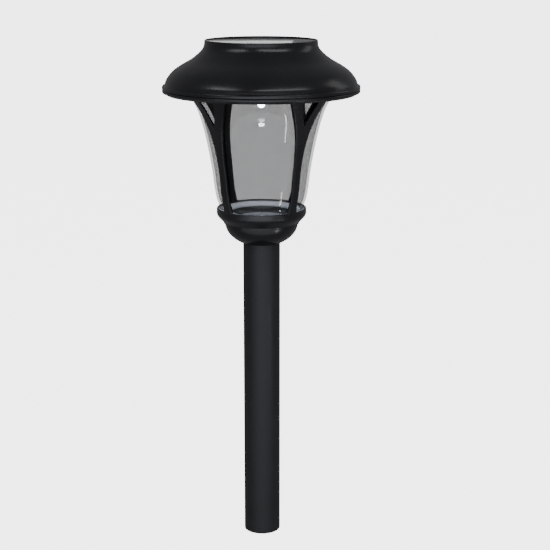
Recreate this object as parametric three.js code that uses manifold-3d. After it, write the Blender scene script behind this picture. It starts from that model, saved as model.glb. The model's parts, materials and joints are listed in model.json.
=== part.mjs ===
// Solar garden light: a hat with the solar cell and the electronics, a clear lens in a cage of
// forked ribs, a bowl, and a plain pole with its ground stake stowed inside.
// Millimetres, +Z up, the origin at the centre of the pole's lower end.

import * as THREE from 'three';
import { mergeVertices } from 'three/addons/utils/BufferGeometryUtils.js';
import Module from 'manifold-3d';

const wasm = await Module();
wasm.setup();

// ---------------------------------------------------------------- driving dimensions

const fit = 0.3; // clearance round a piece that sits in a bore or a recess
const seat = 0.1; // gap between two faces that rest on each other
const roundSteps = 32; // sides of the large turned pieces
const smallSteps = 16; // sides of the small turned pieces

const poleRadius = 12.7;
const poleWall = 1;
const poleLength = 222;

const stakeLength = 150;
const stakeRecess = 4; // the stowed stake's plug lies this far up the pole
const plugLength = 20;
const bladeThickness = 2.2;
const bladeTaper = 70; // length of the stake's pointed stretch

const bowlMargin = 12.3; // how far the bowl's rim stands out past the pole
const bowlDepth = 16.5;
const bowlWall = 1.6;
const socketWall = 1.6;
const socketStop = 1.5; // thickness of the shelf that the pole's top meets
const rimAbovePole = 3; // height of the bowl's rim over the pole's top
const spigotHeight = 4.4;
const bossRadius = 2.8;

const ringMargin = 1.56; // how far the ring stands out past the lens' foot
const ringStep = 0.9; // how far the ring's lower edge stands out past the bowl
const ringHeight = 10.9;
const ringChamfer = 5.9; // height of the ring's sloping foot
const ringLip = 0.8; // how far the ring's lower ledge covers the bowl's rim

const cupWall = 1.2;
const cupFloor = 2;
const dishThickness = 1;
const dishLedge = 1.9; // depth of the ring's upper ledge, which carries the dish
const cupLedge = 2.9; // from that ledge down to the one that carries the cup

const lensWall = 1.6;
const lensHeight = 81.9;
const footOverhang = 4.1; // how far the lens' foot stands out past the bowl's rim
const lensMouthRadius = 47.8;
const lensFlange = 3.6; // width of the flange outside the mouth
const flangeThickness = 1.4;

const ribCount = 4;
const ribTurn = -2.7; // degrees that the ribs are turned from the diagonals
const ribThickness = 1.8;
const stemHalfWidth = 3.1;
const stemHeight = 26; // from the ring's top to where a rib begins to widen
const forkDepth = 18; // from the top ring's underside down to the crotch of a rib
const armSpread = 18.5; // half the width over a rib's two arms at the top ring
const armGap = 9.8; // half the gap between a rib's two arms at the top ring
const topRingHeight = 3.2;
const topRingWidth = 4.4;

const sealRadius = 0.75;

const brimOverhang = 18.55; // how far the hat's brim stands out past the lens' mouth
const hatWall = 1.8;
const hatHeight = 35.9;
const hatRimRadius = 37.8;
const hatRimWall = 1.4;
const lipDepth = 1.2; // height of the plate's flange over the hat's lower edge
const windowThickness = 1.6;
const backingThickness = 0.9;
const cellThickness = 0.5;
const cellWidth = 46;

const plateThickness = 1.6;
const plateStep = 4.8; // height of the plate's raised middle
const plateMargin = 7.2; // width of the plate's outer flange
const hatScrewInset = 3.9;
const hatScrewCount = 3;
const hatScrewRecess = 0.6; // how deep the heads sit in the plate's flange

const batteryRadius = 7.25;
const batteryLength = 50.5;
const batteryClearance = 4.8; // from the circuit board to the battery box
const doorMargin = 2.75; // how far the door reaches past the battery's ends
const doorSide = 1.25; // how far the door reaches past the battery's sides
const boxWall = 1.4;
const boxHeight = 9;
const contactGap = 2.6; // space for a contact at each end of the battery

const boardLength = 32;
const boardWidth = 20;
const boardThickness = 1.6;
const boardPost = 1.8;

const ledRadius = 2.5;
const ledDrop = 15.3; // from the plate's underside to the tip of the lamp
const bezelDrop = 12.2;
const bezelWall = 1.3;

const switchOffset = 22;
const switchTravel = 3;
const knobLength = 4;
const knobWidth = 3;

const wireRadius = 0.55;

const screwRadius = 1.3;
const screwHead = 2.4;
const smallScrewRadius = 0.9;
const smallScrewHead = 1.8;

// ---------------------------------------------------------------- widths worked out from them

const bowlRadius = poleRadius + bowlMargin;
const ringFoot = bowlRadius + ringStep;
const ringBore = bowlRadius - ringLip; // inside of the ring's lower ledge
const spigotRadius = ringBore - fit;
const cupRadius = spigotRadius - bowlWall - 2 * fit - cupWall; // bore of the well under the lens
const bowlScrewCircle = cupRadius - screwHead - fit - 0.8;
const lensFootRadius = bowlRadius + footOverhang;
const ringRadius = lensFootRadius + ringMargin;
const hatRadius = lensMouthRadius + brimOverhang;
const doorLength = batteryLength + 2 * doorMargin;
const doorWidth = 2 * (batteryRadius + doorSide);
const batteryOffset = boardWidth / 2 - 1 + batteryClearance + boxWall + fit + doorWidth / 2;

// ---------------------------------------------------------------- levels worked out from them

const socketTop = poleLength + fit;
const seamZ = poleLength + rimAbovePole;
const ringZ = seamZ + seat;
const ringTop = ringZ + ringHeight;
const ledgeZ = ringTop - dishLedge;
const lensFootZ = ledgeZ + dishThickness + 2 * seat;
const lensTopZ = lensFootZ + lensHeight;
const topRingZ = lensTopZ - flangeThickness - seat - topRingHeight;
const plateZ = lensTopZ + 2 * sealRadius + 2 * seat;
const flangeZ = plateZ - plateStep;
const hatZ = flangeZ - lipDepth;
const hatTop = hatZ + hatHeight;
const plateTop = plateZ + plateThickness;
const boardZ = plateTop + boardPost + seat;

// ---------------------------------------------------------------- tools for solids

const P = (r, z) => new THREE.Vector2(r, z);

function closed(geometry) {
  // one indexed surface, its seams merged and its collapsed triangles dropped
  const bare = geometry.index ? geometry.toNonIndexed() : geometry.clone();
  for (const name of Object.keys(bare.attributes)) {
    if (name !== 'position') bare.deleteAttribute(name);
  }
  const merged = mergeVertices(bare, 1e-4);
  const old = merged.index.array;
  const kept = [];
  for (let i = 0; i < old.length; i += 3) {
    const [a, b, c] = [old[i], old[i + 1], old[i + 2]];
    if (a !== b && b !== c && c !== a) kept.push(a, b, c);
  }
  merged.setIndex(kept);
  return merged;
}

function toSolid(geometry) {
  const mesh = closed(geometry);
  const vertProperties = new Float32Array(mesh.attributes.position.array);
  const triVerts = new Uint32Array(mesh.index.array);
  return new wasm.Manifold(new wasm.Mesh({ numProp: 3, vertProperties, triVerts }));
}

function toGeometry(solid) {
  const mesh = solid.getMesh();
  const geometry = new THREE.BufferGeometry();
  geometry.setAttribute('position', new THREE.BufferAttribute(mesh.vertProperties, 3));
  geometry.setIndex(new THREE.BufferAttribute(mesh.triVerts, 1));
  geometry.computeVertexNormals();
  return geometry;
}

function turned(profile, steps = roundSteps) {
  // a body of revolution about Z; the profile runs up its outside
  const geometry = new THREE.LatheGeometry(profile, steps);
  geometry.rotateX(Math.PI / 2);
  return toSolid(geometry);
}

function ring(inner, outer, low, high, steps = roundSteps) {
  return turned([P(inner, low), P(outer, low), P(outer, high), P(inner, high), P(inner, low)], steps);
}

function rod(radius, low, high, steps = smallSteps) {
  return turned([P(0, low), P(radius, low), P(radius, high), P(0, high)], steps);
}

function block(x0, x1, y0, y1, z0, z1) {
  const geometry = new THREE.BoxGeometry(x1 - x0, y1 - y0, z1 - z0);
  geometry.translate((x0 + x1) / 2, (y0 + y1) / 2, (z0 + z1) / 2);
  return toSolid(geometry);
}

function moved(solid, x, y, z = 0) {
  return solid.translate([x, y, z]);
}

function spun(solid, degrees) {
  return solid.rotate([0, 0, degrees]);
}

function joined(first, ...others) {
  return others.reduce((sum, solid) => sum.add(solid), first);
}

function lessEach(first, ...others) {
  return others.reduce((rest, solid) => rest.subtract(solid), first);
}

function sampled(curve, steps) {
  return curve.getPoints(steps).map((point) => P(point.x, point.y));
}

function offsetCurve(curve, steps, distance) {
  // points beside a curve that runs upwards; a positive distance lies outside it
  const points = [];
  for (let i = 0; i <= steps; i += 1) {
    const at = curve.getPoint(i / steps);
    const along = curve.getTangent(i / steps);
    points.push(P(at.x + along.y * distance, at.y - along.x * distance));
  }
  return points;
}

function wire(points, steps = 10) {
  const path = new THREE.CatmullRomCurve3(points.map(([x, y, z]) => new THREE.Vector3(x, y, z)));
  const section = new THREE.Shape();
  for (let i = 0; i < 6; i += 1) {
    const angle = (i * Math.PI) / 3;
    const corner = [wireRadius * Math.cos(angle), wireRadius * Math.sin(angle)];
    if (i === 0) section.moveTo(...corner);
    else section.lineTo(...corner);
  }
  return toSolid(new THREE.ExtrudeGeometry(section, { steps, extrudePath: path, bevelEnabled: false }));
}

// ---------------------------------------------------------------- the assembly's materials

const finish = {
  blackPlastic: { color: 0x191a1c, roughness: 0.38, metalness: 0 },
  blackPaint: { color: 0x1d1e21, roughness: 0.42, metalness: 0.1 },
  innerPlastic: { color: 0x202124, roughness: 0.6, metalness: 0 },
  clearPlastic: { color: 0xd8dadb, roughness: 0.06, metalness: 0 },
  reflector: { color: 0xb4b6b8, roughness: 0.3, metalness: 0.7 },
  solarGlass: { color: 0xaab0b6, roughness: 0.08, metalness: 0 },
  silicon: { color: 0x1b2333, roughness: 0.25, metalness: 0.3 },
  backing: { color: 0xd9d6cc, roughness: 0.7, metalness: 0 },
  rubber: { color: 0x141414, roughness: 0.85, metalness: 0 },
  steel: { color: 0xb8babd, roughness: 0.3, metalness: 1 },
  board: { color: 0x1f6b3c, roughness: 0.5, metalness: 0 },
  battery: { color: 0x2f7d4f, roughness: 0.35, metalness: 0.1 },
  ledResin: { color: 0xf4f7ff, roughness: 0.1, metalness: 0 },
  redWire: { color: 0xa81e1e, roughness: 0.5, metalness: 0 },
  blackWire: { color: 0x151515, roughness: 0.5, metalness: 0 },
};

const light = new THREE.Group();

function place(name, solid, look) {
  const mesh = new THREE.Mesh(toGeometry(solid), new THREE.MeshStandardMaterial(look));
  mesh.name = name;
  light.add(mesh);
}

// ---------------------------------------------------------------- screws

function screw(shankRadius, headRadius, headHeight, length, steps = 10) {
  // the head's top is at z = 0 and the shank points down
  const profile = [
    P(0, -headHeight - length),
    P(shankRadius * 0.6, -headHeight - length),
    P(shankRadius, -headHeight - length + shankRadius),
    P(shankRadius, -headHeight),
    P(headRadius, -headHeight),
    P(headRadius, -headHeight * 0.45),
    P(headRadius * 0.72, 0),
    P(0, 0),
  ];
  const slotLength = headRadius * 0.62;
  const slotWidth = headRadius * 0.13;
  const slotDepth = headHeight * 0.55;
  return lessEach(
    turned(profile, steps),
    block(-slotLength, slotLength, -slotWidth, slotWidth, -slotDepth, 1),
    block(-slotWidth, slotWidth, -slotLength, slotLength, -slotDepth, 1),
  );
}

// ---------------------------------------------------------------- pole and stake

const poleBore = poleRadius - poleWall;
const edgeRound = poleWall * 0.3;

place(
  'pole',
  turned([
    P(poleBore, 0),
    P(poleRadius - edgeRound, 0),
    P(poleRadius, edgeRound),
    P(poleRadius, poleLength - edgeRound),
    P(poleRadius - edgeRound, poleLength),
    P(poleBore, poleLength),
    P(poleBore, 0),
  ]),
  finish.blackPaint,
);

function stakeSolid() {
  const plugRadius = poleBore - fit;
  const halfBlade = plugRadius - 0.8;
  const low = stakeRecess;
  const plugTop = low + plugLength;
  const tip = low + stakeLength;
  const outline = new THREE.Shape();
  outline.moveTo(-halfBlade, plugTop - 1);
  outline.lineTo(halfBlade, plugTop - 1);
  outline.lineTo(halfBlade, tip - bladeTaper);
  outline.lineTo(bladeThickness * 0.4, tip);
  outline.lineTo(-bladeThickness * 0.4, tip);
  outline.lineTo(-halfBlade, tip - bladeTaper);
  const sheet = new THREE.ExtrudeGeometry(outline, { depth: bladeThickness, bevelEnabled: false });
  sheet.translate(0, 0, -bladeThickness / 2);
  sheet.rotateX(Math.PI / 2);
  const blade = toSolid(sheet);
  const plug = turned(
    [
      P(0, low + 2),
      P(plugRadius - 2.4, low + 2),
      P(plugRadius - 2.4, low),
      P(plugRadius - 0.5, low),
      P(plugRadius, low + 0.5),
      P(plugRadius, plugTop - 0.5),
      P(plugRadius - 0.5, plugTop),
      P(0, plugTop),
    ],
    32,
  );
  return joined(plug, blade, spun(blade, 90));
}

place('ground_stake', stakeSolid(), finish.innerPlastic);

// ---------------------------------------------------------------- bowl

const bowlCentreZ = seamZ + 0.5;
const socketRadius = poleRadius + fit;
const sleeveRadius = socketRadius + socketWall;

function bowlArc(thickness, fromRadius, toRadius, steps) {
  // a stretch of the bowl's elliptical wall, or of a line inside it
  const a = bowlRadius - thickness;
  const b = bowlDepth - thickness;
  const from = Math.acos(fromRadius / a);
  const to = Math.acos(toRadius / a);
  const points = [];
  for (let i = 0; i <= steps; i += 1) {
    const angle = from + ((to - from) * i) / steps;
    points.push(P(a * Math.cos(angle), bowlCentreZ - b * Math.sin(angle)));
  }
  return points;
}

function bowlSolid() {
  const outerTop = bowlRadius * Math.cos(Math.asin((bowlCentreZ - seamZ) / bowlDepth));
  const outside = bowlArc(0, socketRadius, outerTop, 8);
  const spigotBore = spigotRadius - bowlWall;
  const inside = bowlArc(bowlWall, spigotBore, sleeveRadius, 5);
  const shell = turned([
    ...outside,
    P(spigotRadius, seamZ),
    P(spigotRadius, seamZ + spigotHeight),
    P(spigotBore, seamZ + spigotHeight),
    ...inside,
    P(sleeveRadius, socketTop + socketStop),
    P(socketRadius - 4.5, socketTop + socketStop),
    P(socketRadius - 4.5, socketTop),
    P(socketRadius, socketTop),
    outside[0],
  ]);
  const footZ = bowlArc(bowlWall / 2, bowlScrewCircle + bossRadius, bowlScrewCircle + bossRadius, 1)[0].y;
  const boss = rod(bossRadius, footZ, seamZ + 0.3);
  const pilot = rod(screwRadius + fit, seamZ - 6.5, seamZ + 1);
  let bowl = shell;
  for (let i = 0; i < 3; i += 1) bowl = bowl.add(spun(moved(boss, bowlScrewCircle, 0), 30 + 120 * i));
  for (let i = 0; i < 3; i += 1) bowl = bowl.subtract(spun(moved(pilot, bowlScrewCircle, 0), 30 + 120 * i));
  return bowl;
}

place('bowl', bowlSolid(), finish.blackPlastic);

// ---------------------------------------------------------------- lens

const lensNeck = lensFootZ + 3.3; // top of the lens' straight foot
const lensFlare = lensMouthRadius - lensFootRadius;
const lensRise = topRingZ - lensFootZ;

function lensPoint(out, up) {
  // a point of the lens' outer line, as shares of its flare and of its rise
  return P(lensFootRadius + out * lensFlare, lensFootZ + up * lensRise);
}

const lensLine = new THREE.SplineCurve([
  P(lensFootRadius, lensNeck),
  lensPoint(0.083, 0.098),
  lensPoint(0.16, 0.205),
  lensPoint(0.246, 0.368),
  lensPoint(0.449, 0.63),
  lensPoint(0.684, 0.838),
  lensPoint(0.93, 0.969),
  lensPoint(1, 1),
]);

function lensSolid() {
  const outside = sampled(lensLine, 11);
  const inside = offsetCurve(lensLine, 9, -lensWall).reverse();
  const bore = inside[0].x;
  const foot = P(lensFootRadius - 1.5, lensFootZ);
  return turned([
    foot,
    P(lensFootRadius - 0.5, lensFootZ + 0.6),
    P(lensFootRadius, lensFootZ + 1.9),
    ...outside,
    P(lensMouthRadius, lensTopZ - flangeThickness),
    P(lensMouthRadius + lensFlange, lensTopZ - flangeThickness),
    P(lensMouthRadius + lensFlange, lensTopZ),
    P(bore, lensTopZ),
    ...inside,
    P(lensFootRadius - 1.5 - lensWall, lensFootZ),
    foot,
  ]);
}

place('lens', lensSolid(), finish.clearPlastic);

// ---------------------------------------------------------------- cage

const seatRadius = lensFootRadius + 0.1; // bore that takes the lens' foot
const ledgeRadius = seatRadius - 1.8;
const cupLedgeZ = ledgeZ - cupLedge;

function baseRing() {
  const slope = (ringRadius - ringFoot) / 3;
  return turned([
    P(ringBore, ringZ),
    P(ringFoot, ringZ),
    P(ringFoot, ringZ + 0.9),
    P(ringFoot + slope * 1.25, ringZ + ringChamfer * 0.5),
    P(ringRadius - slope * 0.5, ringZ + ringChamfer * 0.86),
    P(ringRadius, ringZ + ringChamfer * 1.15),
    P(ringRadius, ringTop - 1),
    P(ringRadius - 0.45, ringTop - 0.3),
    P(ringRadius - 1.1, ringTop),
    P(seatRadius, ringTop - 0.4),
    P(seatRadius, ledgeZ),
    P(ledgeRadius, ledgeZ),
    P(ledgeRadius, cupLedgeZ),
    P(ringBore, cupLedgeZ),
    P(ringBore, ringZ),
  ]);
}

function ribShell() {
  // the space beside the lens that all the ribs share
  const near = offsetCurve(lensLine, 11, seat).filter((point) => point.x >= seatRadius);
  const far = offsetCurve(lensLine, 11, seat + ribThickness).filter((point) => point.y > ringTop + 4);
  const top = topRingZ + topRingHeight;
  return turned([
    P(seatRadius, ringTop - 1.2),
    P(ringRadius, ringTop - 1.2),
    ...far,
    P(lensMouthRadius + seat + ribThickness, top),
    P(lensMouthRadius + seat, top),
    ...near.reverse(),
    P(seatRadius, ringTop - 1.2),
  ]);
}

function forkOutline() {
  // half the outline is drawn upwards and the other half comes back down
  const low = ringTop - 2;
  const top = topRingZ + topRingHeight;
  const flareTop = ringTop + 9;
  const bendZ = ringTop + stemHeight;
  const rise = top - bendZ;
  const crotch = topRingZ - forkDepth;
  const outline = new THREE.Shape();
  outline.moveTo(stemHalfWidth + 1.6, low);
  outline.quadraticCurveTo(stemHalfWidth, ringTop + 0.5, stemHalfWidth, flareTop);
  outline.lineTo(stemHalfWidth, bendZ);
  outline.bezierCurveTo(
    stemHalfWidth, bendZ + rise * 0.52,
    armSpread * 0.46, bendZ + rise * 0.69,
    armSpread, top,
  );
  outline.lineTo(armGap, top);
  outline.quadraticCurveTo(armGap * 0.4, crotch + 9, 0.5, crotch + 0.5);
  outline.quadraticCurveTo(0, crotch - 0.5, -0.5, crotch + 0.5);
  outline.quadraticCurveTo(-armGap * 0.4, crotch + 9, -armGap, top);
  outline.lineTo(-armSpread, top);
  outline.bezierCurveTo(
    armSpread * -0.46, bendZ + rise * 0.69,
    -stemHalfWidth, bendZ + rise * 0.52,
    -stemHalfWidth, bendZ,
  );
  outline.lineTo(-stemHalfWidth, flareTop);
  outline.quadraticCurveTo(-stemHalfWidth, ringTop + 0.5, -stemHalfWidth - 1.6, low);
  return outline;
}

function cageSolid() {
  const reach = lensMouthRadius + seat + ribThickness + 2;
  const plate = new THREE.ExtrudeGeometry(forkOutline(), {
    depth: reach,
    bevelEnabled: false,
    curveSegments: 8,
  });
  plate.rotateX(Math.PI / 2);
  const fork = toSolid(plate);
  const shell = ribShell();
  const topRing = ring(
    lensMouthRadius + fit,
    lensMouthRadius + fit + topRingWidth,
    topRingZ,
    topRingZ + topRingHeight,
  );
  let cage = joined(baseRing(), topRing);
  for (let i = 0; i < ribCount; i += 1) {
    const rib = shell.intersect(spun(fork, 45 + ribTurn + (360 / ribCount) * i));
    cage = cage.add(rib);
  }
  return cage;
}

place('cage', cageSolid(), finish.blackPlastic);

// ---------------------------------------------------------------- well and reflector under the lens

const cupFloorZ = seamZ + 0.3 + seat;
const cupFlangeZ = cupLedgeZ + seat;

function cupSolid() {
  const cup = turned([
    P(0, cupFloorZ),
    P(cupRadius + cupWall, cupFloorZ),
    P(cupRadius + cupWall, cupFlangeZ),
    P(ledgeRadius - fit, cupFlangeZ),
    P(ledgeRadius - fit, cupFlangeZ + cupWall),
    P(cupRadius, cupFlangeZ + cupWall),
    P(cupRadius, cupFloorZ + cupFloor),
    P(0, cupFloorZ + cupFloor),
  ]);
  const hole = rod(screwRadius + fit, cupFloorZ - 1, cupFloorZ + 1);
  const recess = rod(screwHead + fit, cupFloorZ + 0.6, cupFloorZ + cupFloor + 1);
  const holes = [];
  for (let i = 0; i < 3; i += 1) {
    holes.push(spun(moved(joined(hole, recess), bowlScrewCircle, 0), 30 + 120 * i));
  }
  return lessEach(cup, ...holes);
}

place('well_cup', cupSolid(), finish.innerPlastic);

for (let i = 0; i < 3; i += 1) {
  const top = cupFloorZ + cupFloor - 0.1;
  const fastener = moved(screw(screwRadius, screwHead, 1.2, 6), bowlScrewCircle, 0, top);
  place(`bowl_screw_${i + 1}`, spun(fastener, 30 + 120 * i), finish.steel);
}

const discZ = cupFloorZ + cupFloor + seat;

place(
  'reflector_disc',
  turned([P(0, discZ), P(cupRadius - fit, discZ), P(cupRadius - fit, discZ + 0.8), P(0, discZ + 0.8)]),
  finish.reflector,
);

function dishSolid() {
  const rimZ = ledgeZ + seat;
  const rim = seatRadius - fit;
  const shelf = ledgeRadius - fit;
  const low = cupFlangeZ + cupWall + seat;
  return turned([
    P(cupRadius, low),
    P(shelf, rimZ),
    P(rim, rimZ),
    P(rim, rimZ + dishThickness),
    P(shelf + 0.4, rimZ + dishThickness),
    P(cupRadius, low + dishThickness),
    P(cupRadius, low),
  ]);
}

place('reflector_dish', dishSolid(), finish.reflector);

// ---------------------------------------------------------------- seal under the hat

const sealCircle = lensMouthRadius + lensFlange / 2;

function sealSolid() {
  const centreZ = lensTopZ + seat + sealRadius;
  const profile = [];
  for (let i = 0; i <= 6; i += 1) {
    const angle = -Math.PI + (i * Math.PI) / 3;
    profile.push(P(sealCircle + sealRadius * Math.cos(angle), centreZ + sealRadius * Math.sin(angle)));
  }
  return turned(profile);
}

place('seal_ring', sealSolid(), finish.rubber);

// ---------------------------------------------------------------- hat

const rimBore = hatRimRadius - hatRimWall;
const windowTop = hatTop - 0.5;
const windowZ = windowTop - windowThickness;
const cellZ = windowZ - 0.3 - cellThickness;
const backingZ = cellZ - seat - backingThickness;
const deckZ = backingZ - seat; // top of the deck under the solar cell
const deckThickness = 1.6;
const plateRadius = hatRadius - hatWall - 2.7 - fit;
const hatScrewCircle = plateRadius - hatScrewInset;

const wireHole = 3; // bore in the deck for the solar cell's wires
const wireHoleOffset = 12;

const hatSlope = new THREE.SplineCurve([
  P(hatRadius - 2, flangeZ + 6.1),
  P(hatRadius - 2.6, flangeZ + 8.1),
  P(hatRadius - 4.65, flangeZ + 11.3),
  P(hatRadius - 7.75, flangeZ + 14.6),
  P(hatRadius - 12.45, flangeZ + 17.9),
  P(hatRimRadius + 9.1, hatTop - 12.8),
  P(hatRimRadius + 4.8, hatTop - 9.5),
  P(hatRimRadius + 1.6, hatTop - 6.3),
  P(hatRimRadius + 0.3, hatTop - 3.6),
  P(hatRimRadius, hatTop - 1),
]);

function hatSolid() {
  const outside = sampled(hatSlope, 11);
  const inside = offsetCurve(hatSlope, 7, -hatWall).filter((point) => point.y < deckZ - deckThickness - 0.5);
  const lipBore = plateRadius + fit;
  const shell = turned([
    P(lipBore, hatZ),
    P(hatRadius - 3.1, hatZ),
    P(hatRadius - 2.7, hatZ + lipDepth / 2),
    P(hatRadius - 1.7, flangeZ),
    P(hatRadius - 0.3, flangeZ + 0.2),
    P(hatRadius, flangeZ + 0.8),
    P(hatRadius, flangeZ + 1.8),
    P(hatRadius - 0.6, flangeZ + 2.2),
    P(hatRadius, flangeZ + 2.6),
    P(hatRadius, flangeZ + 4),
    P(hatRadius - 0.4, flangeZ + 4.6),
    P(hatRadius - 1.5, flangeZ + 5),
    ...outside,
    P(hatRimRadius - 0.5, hatTop),
    P(rimBore, hatTop),
    P(rimBore, deckZ),
    P(0, deckZ),
    P(0, deckZ - deckThickness),
    P(inside[inside.length - 1].x, deckZ - deckThickness),
    ...inside.reverse(),
    P(lipBore, flangeZ + 4.9),
    P(lipBore, hatZ),
  ]);
  const bossTop = flangeZ + 12;
  const boss = joined(
    rod(bossRadius, flangeZ + plateThickness + seat, bossTop),
    block(0, hatRadius - hatScrewCircle - 3.5, -0.8, 0.8, flangeZ + plateThickness + 2, bossTop - 4.2),
  );
  const pilot = rod(screwRadius + fit, flangeZ, flangeZ + plateThickness + 8);
  let hat = shell;
  for (let i = 0; i < hatScrewCount; i += 1) {
    hat = hat.add(spun(moved(boss, hatScrewCircle, 0), 90 + (360 / hatScrewCount) * i));
  }
  for (let i = 0; i < hatScrewCount; i += 1) {
    hat = hat.subtract(spun(moved(pilot, hatScrewCircle, 0), 90 + (360 / hatScrewCount) * i));
  }
  return hat.subtract(moved(rod(wireHole, deckZ - 3, deckZ + 1), 0, -wireHoleOffset));
}

place('hat_shell', hatSolid(), finish.blackPlastic);

const windowRadius = rimBore - fit;

place(
  'solar_window',
  turned([
    P(0, windowZ),
    P(windowRadius, windowZ),
    P(windowRadius, windowTop - 0.3),
    P(windowRadius - 0.3, windowTop),
    P(0, windowTop),
  ]),
  finish.solarGlass,
);
place(
  'window_gasket',
  ring(windowRadius - 1.7, windowRadius, backingZ + backingThickness + seat, windowZ - seat),
  finish.rubber,
);
place(
  'cell_backing',
  turned([
    P(0, backingZ),
    P(windowRadius, backingZ),
    P(windowRadius, backingZ + backingThickness),
    P(0, backingZ + backingThickness),
  ]),
  finish.backing,
);
place(
  'solar_cell',
  block(-cellWidth / 2, cellWidth / 2, -cellWidth / 2, cellWidth / 2, cellZ, cellZ + cellThickness),
  finish.silicon,
);

// ---------------------------------------------------------------- plate that closes the hat

const doorX = doorLength / 2;
const doorY0 = batteryOffset - doorWidth / 2;
const doorY1 = batteryOffset + doorWidth / 2;
const boxX = batteryLength / 2 + contactGap + boxWall;
const bezelRadius = ledRadius + fit + bezelWall;
const knobSlot = (knobLength + switchTravel) / 2 + fit;
const postX = boardLength / 2 - 3;
const doorScrewX = doorX - 3;
const doorScrewY = doorY0 - fit - 2.3;
const doorFloor = plateZ - 1.3; // underside of the door

function plateSolid() {
  const lip = plateRadius - plateMargin;
  const body = turned([
    P(0, plateZ),
    P(lip - plateThickness, plateZ),
    P(lip - plateThickness, flangeZ),
    P(plateRadius, flangeZ),
    P(plateRadius, flangeZ + plateThickness),
    P(lip, flangeZ + plateThickness),
    P(lip, plateTop),
    P(0, plateTop),
  ]);
  const bezelSeat = rod(ledRadius + 0.6 + fit, plateZ - 1, plateTop + 1);
  const doorHole = block(-doorX - fit, doorX + fit, doorY0 - fit, doorY1 + fit, plateZ - 1, plateTop + 1);
  const knobHole = block(
    -knobSlot, knobSlot,
    -switchOffset - knobWidth / 2 - fit, -switchOffset + knobWidth / 2 + fit,
    plateZ - 1, plateTop + 1,
  );
  const batteryY = doorWidth / 2 + fit + boxWall;
  const box = block(
    -boxX, boxX, batteryOffset - batteryY, batteryOffset + batteryY, plateTop - 0.5, plateTop + boxHeight,
  );
  const boxInside = block(
    -boxX + boxWall, boxX - boxWall,
    doorY0 - fit, doorY1 + fit,
    plateTop - 2, plateTop + boxHeight + 1,
  );
  const post = rod(2, plateTop - 0.5, plateTop + boardPost, 12);
  const postHole = rod(smallScrewRadius + fit, plateTop + 0.3, plateTop + boardPost + 1, 12);
  const screwHole = joined(
    rod(screwRadius + fit, flangeZ - 1, flangeZ + plateThickness + 1, 12),
    rod(screwHead + fit, flangeZ - 1, flangeZ + hatScrewRecess, 12),
  );
  const doorTab = block(
    doorScrewX - 2.6, doorScrewX + 2.6,
    doorY0 - fit - 4.4, doorY0 - fit - 0.2,
    plateTop - 0.4, plateTop + 2.4,
  );
  let plate = joined(body, box, doorTab).subtract(boxInside);
  plate = lessEach(plate, bezelSeat, doorHole, knobHole);
  for (const side of [-1, 1]) {
    plate = plate.add(moved(post, side * postX, 0)).subtract(moved(postHole, side * postX, 0));
  }
  for (let i = 0; i < hatScrewCount; i += 1) {
    plate = plate.subtract(spun(moved(screwHole, hatScrewCircle, 0), 90 + (360 / hatScrewCount) * i));
  }
  const doorPilot = rod(smallScrewRadius + fit, plateZ - 1, plateTop + 1.6, 12);
  return plate.subtract(moved(doorPilot, doorScrewX, doorScrewY));
}

place('base_plate', plateSolid(), finish.blackPlastic);

for (let i = 0; i < hatScrewCount; i += 1) {
  const headHeight = 1.3;
  const upright = screw(screwRadius, screwHead, headHeight, 8).rotate([180, 0, 0]);
  const fastener = moved(upright, hatScrewCircle, 0, flangeZ + hatScrewRecess - seat - headHeight);
  place(`hat_screw_${i + 1}`, spun(fastener, 90 + (360 / hatScrewCount) * i), finish.steel);
}

// ---------------------------------------------------------------- battery and its door

const batteryZ = plateTop + 0.8 + batteryRadius;

function batterySolid() {
  const half = batteryLength / 2;
  const cell = turned(
    [
      P(0, -half),
      P(batteryRadius - 0.6, -half),
      P(batteryRadius, -half + 0.6),
      P(batteryRadius, half - 2),
      P(batteryRadius - 0.8, half - 1.2),
      P(2.7, half - 1.2),
      P(2.7, half),
      P(0, half),
    ],
    24,
  );
  return moved(cell.rotate([0, 90, 0]), 0, batteryOffset, batteryZ);
}

place('battery_cell', batterySolid(), finish.battery);

function springSolid() {
  // a conical coil that the cell's flat end presses on
  const turns = 3;
  const end = -batteryLength / 2 - seat;
  const reach = contactGap - 0.9 - seat;
  const points = [];
  for (let i = 0; i <= 10 * turns; i += 1) {
    const share = i / (10 * turns);
    const angle = share * turns * 2 * Math.PI;
    const radius = 4.6 - 2.2 * share;
    points.push(new THREE.Vector3(
      end - 0.35 - (reach - 0.75) * (1 - share),
      batteryOffset + radius * Math.cos(angle),
      batteryZ + radius * Math.sin(angle),
    ));
  }
  const section = new THREE.Shape();
  section.absarc(0, 0, 0.3, 0, 2 * Math.PI, false);
  const coil = new THREE.ExtrudeGeometry(section, {
    steps: 10 * turns,
    extrudePath: new THREE.CatmullRomCurve3(points),
    bevelEnabled: false,
    curveSegments: 3,
  });
  return toSolid(coil);
}

place('battery_spring', springSolid(), finish.steel);

function contactSolid(side) {
  const face = side * (batteryLength / 2 + contactGap - seat);
  const back = face - side * 0.5;
  return block(
    Math.min(face, back), Math.max(face, back),
    batteryOffset - 5.5, batteryOffset + 5.5,
    plateTop + 1, plateTop + boxHeight + 2,
  );
}

place('contact_negative', contactSolid(-1), finish.steel);
place('contact_positive', contactSolid(1), finish.steel);

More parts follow.
